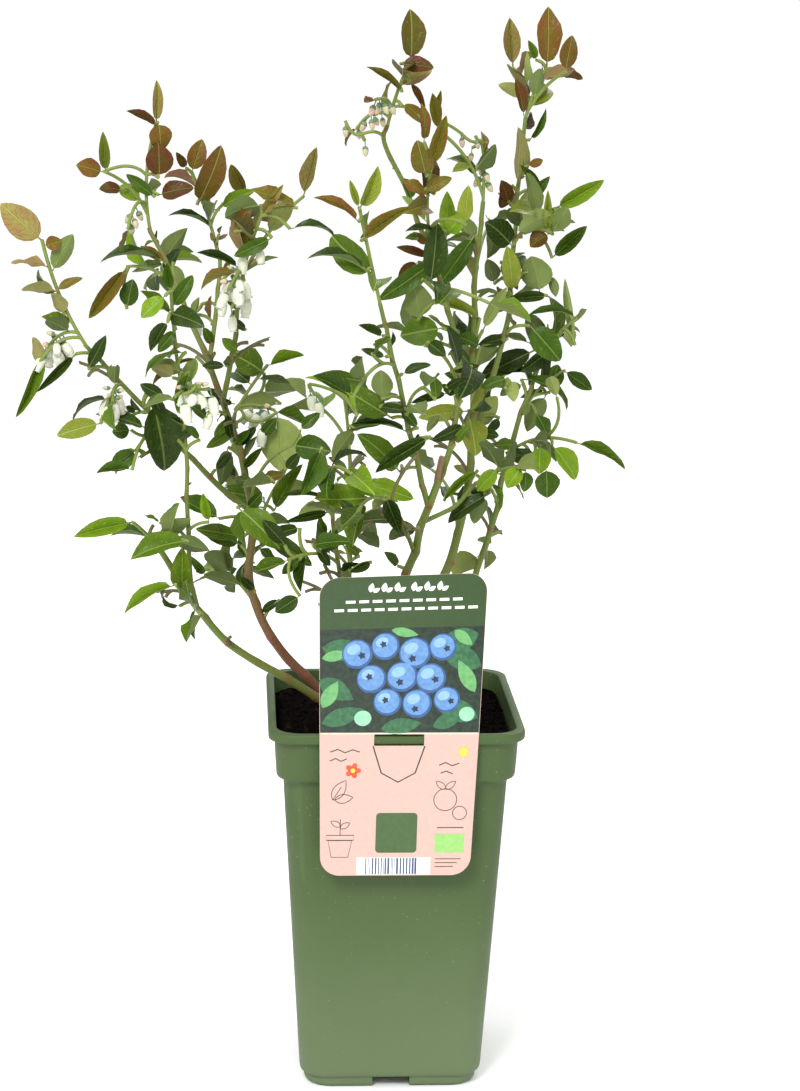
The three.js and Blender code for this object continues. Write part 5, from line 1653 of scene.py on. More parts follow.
# ---------------------------------------------------------------- single shapes that are repeated
@dataclass(frozen=True)
class LeafForm:
    """One way a leaf is shaped, for a length of 1 and a width of 1."""

    name: str
    fold: float  # how far each half stands up from flat, in degrees
    arch: float  # how far the blade bends over its length, in degrees
    curl: float  # how much more its tip bends
    wave: float  # how far its edge waves, against its half width
    widest: float = 0.42
    point: float = 0.86  # how keenly it narrows to its tip
    stalk: float = 0.09
    thickness: float = 0.008
    stations: int = 8

    def spine(self) -> list[tuple[Vector, Vector]]:
        """The blade's middle line from 0 to 1 along Y, each point with its upward direction."""
        count = 2 * self.stations
        heading, point, line = 0.0, Vector((0, 0, 0)), []
        for i in range(count + 1):
            line.append((point.copy(), heading))
            bend = math.radians(self.arch) + math.radians(self.curl) * (3.0 if i / count > 0.66 else 0.0)
            heading -= bend / count
            point = point + Vector((0, math.cos(heading), math.sin(heading))) / count
        chord = line[-1][0]
        tilt = math.atan2(chord.z, chord.y)
        turn = Matrix.Rotation(-tilt, 3, "X")
        ups = [Vector((0, -math.sin(h - tilt), math.cos(h - tilt))) for _, h in line]
        return [(turn @ p / chord.length, up) for (p, _), up in zip(line, ups)]

    def half_width(self, s: float) -> float:
        """How wide the blade is at a place, for a width of 1.

        Args:
            s: the place's share of its length.

        Returns:
            Half its width there.
        """
        root = self.point * self.widest / (1 - self.widest)
        most = self.widest**root * (1 - self.widest) ** self.point
        return 0.5 * s**root * (1 - s) ** self.point / most

    def blade(self) -> bpy.types.Object:
        """The closed blade as a hidden object, with its length along Y and its upper side to +Z."""
        line, last = self.spine(), self.stations
        shares = [0.35 * i / last + 0.325 * (1 - math.cos(math.pi * i / last)) for i in range(last + 1)]
        points: list[Vector] = []
        uvs: list[tuple[float, float]] = []
        above: list[list[int]] = []
        below: list[list[int]] = []

        def add(p: Vector, u: float, v: float) -> int:
            """Keeps a corner and gives its number."""
            points.append(p)
            uvs.append((u, v))
            return len(points) - 1

        for s in shares:
            y = min(1.0, self.stalk + (1 - self.stalk) * s)
            k = min(y * (len(line) - 1), len(line) - 1.001)
            low, high = line[int(k)], line[int(k) + 1]
            middle = low[0].lerp(high[0], k - int(k))
            up = low[1].lerp(high[1], k - int(k)).normalized()
            if s in (shares[0], shares[-1]):
                above.append([add(middle, 0.5, s)] * 5)
                below.append(above[-1])
                continue
            half = self.half_width(s)
            row, under = [], []
            for u in (-1, -0.5, 0, 0.5, 1):
                ripple = self.wave * half * math.sin(2 * math.pi * (1.6 * s + 0.3 * u)) * u * u
                lift = half * abs(u) * math.tan(math.radians(self.fold)) + ripple
                place = middle + Vector((u * half, 0, 0)) + up * lift
                thick = self.thickness * (1 - abs(u) ** 2) * 0.5
                row.append(add(place + up * thick, 0.5 + u * half, s))
                under.append(row[-1] if abs(u) == 1 else add(place - up * thick, 0.5 + u * half, s))
            above.append(row)
            below.append(under)
        faces: Faces = []
        for layer, step in ((above, 1), (below, -1)):
            for one, two in zip(layer, layer[1:]):
                made = [tuple(dict.fromkeys((one[j], one[j + 1], two[j + 1], two[j]))) for j in range(4)]
                faces.extend((f[0], *f[1:][::step]) for f in made)
        mesh = mesh_of(self.name, points, faces, 1)
        layer = mesh.uv_layers.new(name="UVMap")
        for loop in mesh.loops:
            layer.data[loop.index].uv = uvs[loop.vertex_index]
        under_side = mesh.attributes.new("under", "BOOLEAN", "FACE")
        under_side.data.foreach_set("value", [i >= len(faces) // 2 for i in range(len(faces))])
        mesh.shade_smooth()
        return hidden(self.name, mesh)

    def rib(self) -> bpy.types.Object:
        """The stalk and midrib as a hidden object: a slim rod that stands out under the blade."""
        line = self.spine()
        points: list[Vector] = []
        reach = round(0.86 * (len(line) - 1))
        stops = range(0, reach + 1, 2)
        for i in stops:
            middle, up = line[i]
            thick = 0.016 * (1 - 0.78 * i / reach)
            middle = middle + up * (-0.3 * thick)
            aside = Vector((thick, 0, 0))
            points += [middle - aside, middle + up * thick * 0.9, middle + aside, middle - up * thick]
        last = 4 * len(stops) - 4
        faces: Faces = [
            (i + k, i + 4 + k, i + 4 + (k + 1) % 4, i + (k + 1) % 4)
            for i in range(0, last, 4) for k in range(4)
        ]
        faces += [(0, 1, 2, 3), tuple(reversed(range(last, last + 4)))]
        mesh = mesh_of(self.name + "_rib", points, faces, 1)
        mesh.shade_smooth()
        return hidden(mesh.name, mesh)


LEAF_FORMS = (
    LeafForm("leaf_flat", 8, 18, 6, 0.05, 0.43),
    LeafForm("leaf_arched", 12, 56, 14, 0.07, 0.42),
    LeafForm("leaf_folded", 20, 26, 10, 0.06, 0.42, 0.95),
    LeafForm("leaf_drooping", 10, 80, 22, 0.08, 0.42, 0.95),
    LeafForm("leaf_wavy", 8, 30, -8, 0.15, 0.44),
    LeafForm("leaf_broad", 7, 40, 16, 0.08, 0.4, 0.8),
    LeafForm("leaf_cupped", 18, -20, -6, 0.07, 0.44),
    LeafForm("leaf_slim", 16, 40, 14, 0.07, 0.4, 1.0),
    LeafForm("leaf_young", 26, -10, 10, 0.09, 0.43, 1.0),
)
YOUNG_FORMS = (2, 4, 6, 7, 8)


def turned(name: str, profile: Sequence[tuple[float, float]], sides: int,
           lobes: float = 0) -> bpy.types.Object:
    """A turned shape along Y as a hidden object.

    Args:
        name: its name.
        profile: (radius, distance along Y) of each ring, from pole to pole; a radius of 0 is a pole.
        sides: how many sides it has.
        lobes: how far every other corner of a ring stands out along Y, for its radius.

    Returns:
        The hidden object, in millimetres.
    """
    points: list[Vector] = []
    rings: list[list[int]] = []
    for radius, y in profile:
        first = len(points)
        for k in range(sides if radius else 1):
            turn = 2 * math.pi * k / sides
            lift = lobes * radius * 0.3 * (k % 2)
            points.append(Vector((radius * math.cos(turn), y + lift, radius * math.sin(turn))))
        rings.append(list(range(first, len(points))))
    faces: Faces = []
    for one, two in zip(rings, rings[1:]):
        for k in range(sides):
            a, b = one[k % len(one)], one[(k + 1) % len(one)]
            c, d = two[(k + 1) % len(two)], two[k % len(two)]
            faces.append(tuple(dict.fromkeys((a, d, c, b))))
    mesh = mesh_of(name, points, faces, 1)
    made = bmesh.new()
    made.from_mesh(mesh)
    bmesh.ops.recalc_face_normals(made, faces=made.faces)
    made.to_mesh(mesh)
    made.free()
    mesh.shade_smooth()
    return hidden(name, mesh)


class Grower(NodeTree):
    """A Geometry Nodes tree with named inputs that ends in real meshes with their finish."""

    def __init__(self, name: str, **inputs: str) -> None:
        """Starts the tree, with a geometry and a finish among its inputs.

        Args:
            name: its name.
            inputs: the kind of each further input, such as Size="Float".
        """
        super().__init__(bpy.data.node_groups.new(name, "GeometryNodeTree"))
        face = self.tree.interface
        for way in ("INPUT", "OUTPUT"):
            face.new_socket("Geometry", in_out=way, socket_type="NodeSocketGeometry")
        self.sockets = {
            label: face.new_socket(label, in_out="INPUT", socket_type="NodeSocket" + kind).identifier
            for label, kind in {**inputs, "Finish": "Material"}.items()
        }
        self.start = self.node("NodeGroupInput").outputs

    def named(self, name: str, kind: str) -> bpy.types.NodeSocket:
        """The socket that gives a named attribute."""
        node = self.node("GeometryNodeInputNamedAttribute", {"Name": name}, data_type=kind)
        return next(s for s in node.outputs if s.enabled)

    def drawn(self, kind: str, low: object, high: object) -> bpy.types.NodeSocket:
        """Draws a seeded value.

        Args:
            kind: Blender's kind of value.
            low: its least value.
            high: its greatest.

        Returns:
            The value's socket.
        """
        first, given = {"FLOAT_VECTOR": (0, 0), "FLOAT": (2, 1), "INT": (4, 2)}[kind]
        inputs = {first: low, first + 1: high, "Seed": self.start["Seed"]}
        return self.node("FunctionNodeRandomValue", inputs, data_type=kind).outputs[given]

    def stock(self, patterns: Iterable[bpy.types.Object]) -> bpy.types.NodeSocket:
        """The patterns gathered, each to be picked by its number."""
        kept = [self.node("GeometryNodeObjectInfo", {"Object": p, "As Instance": True}) for p in patterns]
        return self.node("GeometryNodeJoinGeometry", {0: [k.outputs["Geometry"] for k in kept]}).outputs[0]

    def coat(self, made: bpy.types.NodeSocket, finish: str, **inputs: object) -> bpy.types.NodeSocket:
        """Gives faces the finish of an input."""
        inputs |= {"Geometry": made, "Material": self.start[finish]}
        return self.node("GeometryNodeSetMaterial", inputs).outputs[0]

    def real(self, made: bpy.types.Node) -> bpy.types.NodeSocket:
        """Makes what a node gives real and finishes it."""
        return self.coat(self.node("GeometryNodeRealizeInstances", {0: made.outputs[0]}).outputs[0], "Finish")

    def end(self, made: bpy.types.NodeSocket) -> None:
        """Ends the tree."""
        self.node("NodeGroupOutput", {0: made})

    def grow(self, name: str, base: bpy.types.ID, **values: object) -> bpy.types.Object:
        """Runs the tree on a mesh or on lines.

        Args:
            name: the plain object's name.
            base: the mesh or lines.
            values: what each input is set to.

        Returns:
            What it makes, as a plain object.
        """
        obj = placed(name + "_base", base)
        modifier = obj.modifiers.new("grow", "NODES")
        modifier.node_group = self.tree
        for label, value in values.items():
            modifier[self.sockets[label]] = value
        return baked(obj, name)


Spot = tuple[Vector, Matrix, Vector, int, float]


class Scatter(Grower):
    """Sets patterns on points, each turned and sized by the point's own values."""

    def __init__(self, name: str, patterns: Sequence[bpy.types.Object], has_underside: bool = False) -> None:
        """Builds the tree.

        Args:
            name: the tree's name.
            patterns: the shapes to choose among by each point's number "form".
            has_underside: whether faces marked "under" take a finish of their own.
        """
        super().__init__(name, Size="Float", Jitter="Float", Seed="Int", Underside="Material")
        jitter = self.start["Jitter"]
        drawn = self.drawn("FLOAT", self.math("SUBTRACT", 1, jitter), self.math("ADD", 1, jitter))
        size = self.math("MULTIPLY", drawn, self.start["Size"])
        sizes = {0: self.named("size", "FLOAT_VECTOR"), "Scale": size}
        made = self.real(self.node("GeometryNodeInstanceOnPoints", {
            "Points": self.start["Geometry"],
            "Pick Instance": True, "Instance": self.stock(reversed(patterns)),
            "Instance Index": self.named("form", "INT"), "Rotation": self.named("turn", "FLOAT_VECTOR"),
            "Scale": self.node("ShaderNodeVectorMath", sizes, operation="SCALE").outputs[0]}))
        if has_underside:
            made = self.coat(made, "Underside", Selection=self.named("under", "BOOLEAN"))
        self.end(made)

    def place(self, name: str, spots: Sequence[Spot], finish: Finish, underside: Finish | None = None,
              jitter: float = 0.0, seed: int = 1) -> bpy.types.Object:
        """Sets the patterns on spots and joins them into one plain piece.

        Args:
            name: the piece's name.
            spots: point in millimetres, turn, size along each axis, number of the form, and shade, which
                darkens leaves as painted shade.
            finish: what it is finished with.
            underside: what the faces marked "under" are finished with.
            jitter: how much sizes differ.
            seed: what the jitter is seeded by.

        Returns:
            The plain object.
        """
        mesh = mesh_of(name + "_spots", [s[0] for s in spots], [])
        for label, kind, key, values in (
            ("turn", "FLOAT_VECTOR", "vector", [c for s in spots for c in s[1].to_euler("XYZ")]),
            ("size", "FLOAT_VECTOR", "vector", [c for s in spots for c in s[2]]),
            ("form", "INT", "value", [s[3] for s in spots]),
            ("shade", "FLOAT", "value", [s[4] for s in spots]),
        ):
            mesh.attributes.new(label, kind, "POINT").data.foreach_set(key, values)
        upper, under = finish.material(), (underside or finish).material()
        made = self.grow(name, mesh, Size=MM, Jitter=jitter, Seed=seed, Finish=upper, Underside=under)
        for extra in ("turn", "size", "form"):
            layer = made.data.attributes.get(extra)
            if layer:
                made.data.attributes.remove(layer)
        return made


# Profiles of the turned shapes: radius and distance along the axis of each ring, in millimetres.
BELL_PROFILE = ((0, 4.8), (1.9, 5.1), (2.75, 6.9), (2.95, 9.2), (2.6, 11.9), (1.85, 13.4), (2.4, 14.2),
                (1.5, 13.7), (1.4, 12.0), (0, 11.4))
BUD_PROFILE = ((0, 4.6), (1.7, 5.2), (2.35, 7.2), (1.9, 9.6), (0.9, 11.4), (0, 11.9))
CALYX_PROFILE = ((0, 0), (0.42, 0.05), (0.36, 3.8), (1.5, 4.5), (2.15, 5.6), (2.3, 6.3), (1.9, 5.7), (0, 5.2))
SCALE_PROFILE = ((0, 0), (0.5, 0.25), (0.62, 0.9), (0.3, 1.8), (0, 2.3))


# ---------------------------------------------------------------- the plant
@dataclass
class Canes:
    """The canes and boughs, with the bark's relief on them."""

    growth: Growth
    ring_step: float = 2.4
    sides: int = 14
    node_step: float = 17
    swell: float = 0.17
    kink: float = 0.45  # how far each node stands to its side, against the limb's tip radius
    slim: float = 0.93  # the bark's radius between its nodes, against the limb's
    flare: float = 0.4  # how much thicker a cane is at the compost, against its root radius
    flare_reach: float = 9
    node_reach: float = 2.6
    scar_reach: float = 1.5

    def build(self) -> None:
        """Makes each limb a piece of its own."""
        for limb in LIMBS:
            is_old = limb.name == "cane_main_left"
            obj = put("bark_" + limb.name, self.relief(limb), BROWN_BARK if is_old else GREEN_BARK)
            settle(obj, "brown_bark" if is_old else "green_bark", limb.name)
        self.stub()

    def stub(self) -> None:
        """Makes the cut stub at the top of the front right cane, and its cut."""
        foot = self.growth.limbs["cane_front_right"].point_by_length(0.985)  # just inside the cane's end
        line = through([foot, foot + Vector((1.0, -0.5, 7)), foot + Vector((2.6, -0.6, 14))])
        bark, cut = Solids(), Solids()
        bark.add(*tube(line, lambda s: 1.8 - 0.15 * s + 0.12 * math.sin(9 * s), self.sides, 8))
        stub = put("stub_bark", bark.mesh("stub_bark"), STUB_BARK)
        stub.data.set_sharp_from_angle(angle=math.radians(50))
        settle(stub, "brown_bark")
        end = Curve(lambda t: line.at(1) + line.heading(1) * (0.35 * t - 0.05))
        cut.add(*tube(end, lambda s: 1.51, self.sides, 1))
        settle(put("stub_cut", cut.mesh("stub_cut"), CUT_WOOD, False), "brown_bark")

    @staticmethod
    def age_reach(limb: Limb) -> float:
        """How far up the limb its bark has begun to turn brown, in millimetres."""
        return 170 if limb.name == "cane_main_left" else 1 if limb.source else 100

    def nodes_of(self, limb: Limb, run: Run) -> list[tuple[float, float]]:
        """Sets out the nodes of a limb.

        Args:
            limb: its sizes.
            run: the run that they are drawn from.

        Returns:
            How far along the limb each node stands and to which side it looks.
        """
        nodes, place, turn = [], 9 + 8 * run(), run() * 6.3
        while place < self.growth.limbs[limb.name].length:
            nodes.append((place, turn))
            place += self.node_step * (0.75 + 0.5 * run())
            turn += SPIRAL
        return nodes

    def relief(self, limb: Limb) -> bpy.types.Mesh:
        """One limb's mesh: a taper that swells at each node, ridged lengthwise, with a scar at each node.

        Args:
            limb: its sizes.

        Returns:
            The mesh, with its length and girth as UV and its age and scars as attributes.
        """
        curve, run, count = self.growth.limbs[limb.name], Run(limb.name + " bark"), self.sides
        nodes = self.nodes_of(limb, run)
        phase = [run() * 6.3 for _ in range(3)]
        steps = max(8, round(curve.length / self.ring_step))
        points, ages, scars, uvs = [], [], [], []
        across = ACROSS
        for i in range(steps + 1):
            share = i / steps
            length = share * curve.length
            across, aside = carried(across, curve.heading_by_length(share))
            middle = curve.point_by_length(share)
            if nodes and nodes[0][0] < length < nodes[-1][0]:
                k = next(k for k in range(len(nodes) - 1) if length <= nodes[k + 1][0])
                (low, one), (high, other) = nodes[k], nodes[k + 1]
                w = (length - low) / (high - low)
                for face, part in ((one, 1 - w), (other, w)):
                    side = across * math.cos(face) + aside * math.sin(face)
                    middle = middle + side * (self.kink * limb.tip * part)
            base = self.slim * (limb.root + (limb.tip - limb.root) * share)
            if not limb.source:
                base += self.flare * limb.root * math.exp(-length / self.flare_reach)
            for k in range(count):
                angle = 2 * math.pi * k / count
                swell, scar = 0.0, 0.0
                for at, face in nodes:
                    facing = max(0.0, math.cos(angle - face)) ** 3
                    swell += math.exp(-(((length - at) / self.node_reach) ** 2)) * (0.35 + 0.9 * facing)
                    scar = max(scar, math.exp(-(((length - at) / self.scar_reach) ** 2)) * (0.25 + facing))
                ridge = 0.03 * math.sin(5 * angle + phase[0])
                ridge += 0.02 * math.sin(0.23 * length + 3 * angle + phase[1])
                radius = base * (1 + self.swell * swell + ridge)
                points.append(middle + (across * math.cos(angle) + aside * math.sin(angle)) * radius)
                ages.append(max(0.0, 1 - length / self.age_reach(limb)))
                scars.append(min(1.0, scar))
                uvs.append((angle / (2 * math.pi), length / 100))
        mesh = mesh_of("bark_" + limb.name, points, rod_faces(steps + 1, count))
        layer = mesh.uv_layers.new(name="UVMap")
        for face in mesh.polygons:
            wraps = {0, count - 1} <= {i % count for i in face.vertices}
            for loop in face.loop_indices:
                u, v = uvs[mesh.loops[loop].vertex_index]
                layer.data[loop].uv = (u + 1 if wraps and u == 0 else u, v)
        for name, values in (("age", ages), ("scar", scars)):
            mesh.attributes.new(name, "FLOAT", "POINT").data.foreach_set("value", values)
        return mesh


@dataclass
class Twigs:
    """The twigs of all the masses, swept along their lines by Geometry Nodes."""

    growth: Growth
    sides: int = 6
    steps: int = 12
    knuckle: float = 0.12  # how much thicker every other ring is

    @staticmethod
    def tree() -> Grower:
        """The tree that sweeps a round section along lines."""
        tree = Grower("sweep twigs", Sides="Int", Girth="Float")
        girth = {"Resolution": tree.start["Sides"], "Radius": tree.start["Girth"]}
        ring = tree.node("GeometryNodeCurvePrimitiveCircle", girth).outputs["Curve"]
        inputs = {"Curve": tree.start["Geometry"], "Profile Curve": ring, "Fill Caps": True}
        tree.end(tree.real(tree.node("GeometryNodeCurveToMesh", inputs)))
        return tree

    def build(self) -> None:
        """Makes the leafy twigs one piece, which stands for the masses, and the thin bare ones another."""
        tree, grown = self.tree(), self.growth.grown
        leafy = self.swept("twigs", grown.twigs, SHOOT, tree)
        settle(leafy, "green_foliage", *(mass.name for mass in MASSES))
        settle(self.swept("bare_twigs", grown.wisps, OLD_TWIG, tree), "brown_bark")

    def swept(self, name: str, twigs: Sequence[Rod], finish: Finish, tree: Grower) -> bpy.types.Object:
        """Sweeps twigs along their lines.

        Args:
            name: the piece's name.
            twigs: each twig's line and its radius at the root and the tip.
            finish: what they are finished with.
            tree: the tree that sweeps.

        Returns:
            The twigs as one plain object.
        """
        lines = bpy.data.curves.new("twig_lines", "CURVE")
        lines.dimensions = "3D"
        for curve, root, tip in twigs:
            spline = lines.splines.new("POLY")
            spline.points.add(self.steps)
            for i, spot in enumerate(spline.points):
                share = i / self.steps
                spot.co = (*(curve.point_by_length(share) * MM), 1)
                knuckle = 1 + self.knuckle * (i % 2)
                spot.radius = (root + (tip - root) * share) * knuckle
        return tree.grow(name, lines, Sides=self.sides, Girth=MM, Finish=finish.material())


@dataclass
class Foliage:
    """The leaves, each tint a piece, and their stalks and midribs."""

    growth: Growth
    rib_colour: Finish = Finish("midrib_pale", srgb(126, 142, 70), srgb(108, 126, 58))
    bronze_rib_colour: Finish = Finish("midrib_bronze", srgb(140, 132, 72), srgb(124, 98, 58))

    def build(self) -> None:
        """Makes the leaves of each tint one piece and their ribs another."""
        blades = Scatter("set leaves", [form.blade() for form in LEAF_FORMS], True)
        ribs = Scatter("set ribs", [form.rib() for form in LEAF_FORMS])
        for tint in Tint:
            spots = [
                (leaf.point, leaf.turn, Vector((leaf.width, leaf.length, leaf.length)), leaf.form, leaf.shade)
                for leaf in self.growth.grown.leaves if leaf.tint is tint
            ]
            upper, under = LEAF_FINISHES[tint]
            slot = "bronze_foliage" if tint.is_turned() else "green_foliage"
            piece = blades.place("leaves_" + tint.value, spots, upper, under)
            piece.data.set_sharp_from_angle(angle=math.radians(75))
            settle(piece, slot)
            rods = [(p, m, Vector((s.y, s.y, s.y)), f, t) for p, m, s, f, t in spots]
            rib = self.bronze_rib_colour if tint.is_turned() else self.rib_colour
            settle(ribs.place("ribs_" + tint.value, rods, rib), slot)


@dataclass
class Blossom:
    """The hanging bells, the closed buds, their calyces and the scales at the nodes."""

    growth: Growth

    def build(self) -> None:
        """Makes each kind one piece."""
        grown = self.growth.grown
        bell = turned("bell", BELL_PROFILE, 10)
        bud = turned("bud", BUD_PROFILE, 8)
        cup = turned("calyx", CALYX_PROFILE, 10, 0.9)
        scale = turned("scale", SCALE_PROFILE, 6)
        opened = [(f.point, f.turn, Vector((f.size,) * 3), 0, 0.5) for f in grown.flowers if not f.is_bud]
        closed = [(f.point, f.turn, Vector((f.size,) * 3), 0, 0.5) for f in grown.flowers if f.is_bud]
        scales = [(p + m @ Vector((0, 0, 0.6)), m, Vector((s, s, s)), 0, 0.5) for p, m, s in grown.scales]
        for name, label, pattern, spots, finish, jitter, seed in (
            ("bells", "bells", bell, opened, BELL, 0.05, 4),
            ("flower_buds", "flower_buds", bud, closed, BUD, 0.05, 4),
            ("calyces", "calyces", cup, opened + closed, CALYX, 0.05, 4),
            ("bud_scales", "scales", scale, scales, SCALE, 0.3, 9),
        ):
            piece = Scatter("set " + label, [pattern]).place(name, spots, finish, jitter=jitter, seed=seed)
            settle(piece, "green_foliage")


# ---------------------------------------------------------------- pot and compost
Outline = list[tuple[float, float]]


def rounded_square(half: float, radius: float, corner_steps: int, side_steps: int) -> Outline:
    """A square with round corners, anticlockwise.

    Args:
        half: half its width.
        radius: its corners' radius.
        corner_steps: how many lengths each corner has.
        side_steps: how many lengths each side has.

    Returns:
        Its points.
    """
    radius = min(radius, half)
    middle = half - radius
    points = []
    for quarter in range(4):
        base = math.pi / 2 * quarter
        cx = middle * (1 if quarter in (0, 3) else -1)
        cy = middle * (1 if quarter in (0, 1) else -1)
        for i in range(corner_steps + 1):
            turn = base + math.pi / 2 * i / corner_steps
            points.append((cx + radius * math.cos(turn), cy + radius * math.sin(turn)))
        along = (-math.sin(base + math.pi / 2), math.cos(base + math.pi / 2))
        x, y = points[-1]
        for i in range(1, side_steps):
            step = 2 * middle * i / side_steps
            points.append((x + along[0] * step, y + along[1] * step))
    return points


@dataclass
class Pot:
    """The moulded square pot with its lip, stacking collar and notched foot."""

    wall: float = 1.6
    corner: float = 14.5
    corner_steps: int = 10
    side_steps: int = 8
    foot: float = 97
    notch: float = 21
    notch_depth: float = 24
    notch_height: float = 6.2
    over: float = 4  # how far the notches' cutters reach past the foot

    def profile(self) -> Outline:
        """(width, height) of each ring from the middle of the foot, up the outside and down the inside."""
        inner = self.wall * 2
        return [
            (88, 0), (92.5, 0.15), (95.2, 0.9), (96.6, 2.2), (self.foot, 4.0), (self.foot, 6.0), (97.6, 6.4),
            (99.2, 6.6), (101.0, 7.6), (102.0, 9.0), (102.5, 11.5), (107.5, 52), (112.7, 95), (117.9, 138),
            (122.6, 178), (123.2, 182.6),
            (123.6, 183.5), (124.6, 183.8), (128.2, 183.8), (129.8, 184.2), (130.8, 185.4), (131.1, 187.5),
            (132.2, 196), (133.2, 205.2), (133.6, 206.2), (134.4, 206.5), (138.4, 206.5), (139.4, 206.9),
            (139.9, 207.8), (140, 209.2), (139.9, 210.8), (139.4, 211.6), (138.3, 212), (136, 212),
            (132.4, 212), (131.2, 211.6), (130.8, 210.6), (129.4, 200), (131 - inner, 188.5), (126.4, 185.5),
            (122.2, 180), (123.4 - inner, 176), (102.4 - inner, 12), (98, 9.2), (94, 8),
        ]

    def shell(self) -> bpy.types.Mesh:
        """The pot before its foot is notched."""
        steps = (self.corner_steps, self.side_steps)
        rings = [
            [Vector((x, y, z)) for x, y in rounded_square(width / 2, self.corner, *steps)]
            for width, z in self.profile()
        ]
        return mesh_of("pot_shell", [p for ring in rings for p in ring], rod_faces(len(rings), len(rings[0])))

    def build(self) -> None:
        """Makes the pot: shell, notches in the foot, softened edges."""
        obj = put("pot_shell", self.shell(), POT)
        cutters = Solids()
        long, wide = (self.notch_depth + self.over) / 2, self.notch / 2
        reach = self.foot / 2 + self.over - long
        for x, y in ((0, -1), (0, 1), (-1, 0), (1, 0)):
            middle = Vector((x * reach, y * reach, 0))
            half = Vector((wide if y else long, long if y else wide, self.notch_height))
            cutters.add_box(middle - half, middle + half)
        cutter = placed("notches", cutters.mesh("notches"))
        cut = obj.modifiers.new("notch", "BOOLEAN")
        cut.operation, cut.solver, cut.object = "DIFFERENCE", "EXACT", cutter
        made = baked(obj, "pot_moulded")
        bpy.data.objects.remove(cutter)
        made.data.set_sharp_from_angle(angle=math.radians(38))
        settle(made, "pot_plastic", "pot")


@dataclass
class Compost:
    """The compost: an uneven top with crumbs and bits of bark strewn on it."""

    top: float = 203
    corner: float = 14.5
    rings: int = 44
    crumbs: float = 90000  # to the square metre
    crumb_sizes: tuple[float, float] = (0.35, 1.15)
    steepest: float = 0.4  # no crumb lies where the upward share of the surface is less
    shallow: float = 2.4
    half: float = 63.2
    flanks: tuple[tuple[float, float], ...] = ((63.1, 188), (59.4, 180), (49.4, 9))  # half widths and heights

    def surface(self) -> bpy.types.Mesh:
        """The closed body of compost with its uneven top."""
        outline = rounded_square(1, self.corner / 63.4, 10, 14)
        count = len(outline)
        run = Run("compost")
        waves = [(run() * 0.25, run() * 0.25, run() * 6.3, 0.3 + 0.5 * run()) for _ in range(14)]
        points = [Vector((0, 0, self.top))]
        for i in range(1, self.rings + 1):
            half = self.half * i / self.rings
            for x, y in outline:
                px, py = x * half, y * half
                lift = sum(h * math.sin(a * px + b * py + c) for a, b, c, h in waves) * 0.28
                near = min(1.0, (self.half - half) / 6)
                height = self.top - self.shallow * 0.3 + lift * near + 0.5 * (run() - 0.5)
                points.append(Vector((px, py, height)))
        points += [Vector((x * width, y * width, z)) for width, z in self.flanks for x, y in outline]
        faces: Faces = [(0, 1 + k, 1 + (k + 1) % count) for k in range(count)]
        for first in range(1, len(points) - count, count):
            for k in range(count):
                a, b = first + k, first + (k + 1) % count
                faces.append((a, a + count, b + count, b))
        faces.append(tuple(reversed(range(len(points) - count, len(points)))))
        return mesh_of("compost_body", points, faces)

    def strew(self, body: bpy.types.Mesh) -> bpy.types.Object:
        """Strews crumbs on the compost's top by Geometry Nodes.

        Args:
            body: the compost.

        Returns:
            The crumbs as one plain object.
        """
        run = Run("crumbs")
        patterns = []
        for name, long in (("crumb_round", 1.0), ("crumb_long", 2.6), ("crumb_flat", 1.6)):
            made = bmesh.new()
            bmesh.ops.create_icosphere(made, subdivisions=1, radius=1)
            for vert in made.verts:
                vert.co *= 0.75 + 0.5 * run()
                vert.co.x *= long
                vert.co.z *= 0.6
            mesh = bpy.data.meshes.new(name)
            made.to_mesh(mesh)
            made.free()
            patterns.append(hidden(name, mesh))
        tree = Grower("strew crumbs", Density="Float", Least="Float", Most="Float", Seed="Int")
        facing = tree.node("ShaderNodeSeparateXYZ", {0: tree.node("GeometryNodeInputNormal").outputs[0]})
        level = tree.node("FunctionNodeCompare", {0: facing.outputs["Z"], 1: self.steepest})
        dots = tree.node("GeometryNodeDistributePointsOnFaces", {
            "Mesh": tree.start["Geometry"], "Selection": level.outputs[0], "Density": tree.start["Density"],
            "Seed": tree.start["Seed"]})
        tree.end(tree.real(tree.node("GeometryNodeInstanceOnPoints", {
            "Points": dots.outputs["Points"], "Pick Instance": True, "Instance": tree.stock(patterns),
            "Instance Index": tree.drawn("INT", 0, len(patterns) - 1),
            "Rotation": tree.drawn("FLOAT_VECTOR", (-0.5, -0.5, 0), (0.5, 0.5, 6.283)),
            "Scale": tree.drawn("FLOAT", tree.start["Least"], tree.start["Most"])})))
        finish = EarthFinish("crumb_brown", srgb(4, 3, 2), srgb(24, 15, 10)).material()
        least, most = (size * MM for size in self.crumb_sizes)
        return tree.grow(
            "compost_crumbs", body.copy(), Density=self.crumbs, Least=least, Most=most, Seed=11, Finish=finish
        )

    def build(self) -> None:
        """Makes the compost and its crumbs."""
        body = self.surface()
        settle(self.strew(body), "compost")
        settle(put("compost_body", body, COMPOST), "compost", "soil")


# ---------------------------------------------------------------- the label
def ellipse(x: float, z: float, wide: float, high: float, count: int = 28, turn: float = 0.0) -> Outline:
    """A round outline on the card.

    Args:
        x: its middle's place across the card.
        z: its middle's height.
        wide: half its width.
        high: half its height.
        count: how many corners it has.
        turn: how far it is turned, in degrees.

    Returns:
        Its corners.
    """
    c, s = math.cos(math.radians(turn)), math.sin(math.radians(turn))
    made = []
    for i in range(count):
        a = 2 * math.pi * i / count
        px, pz = wide * math.cos(a), high * math.sin(a)
        made.append((x + c * px - s * pz, z + s * px + c * pz))
    return made


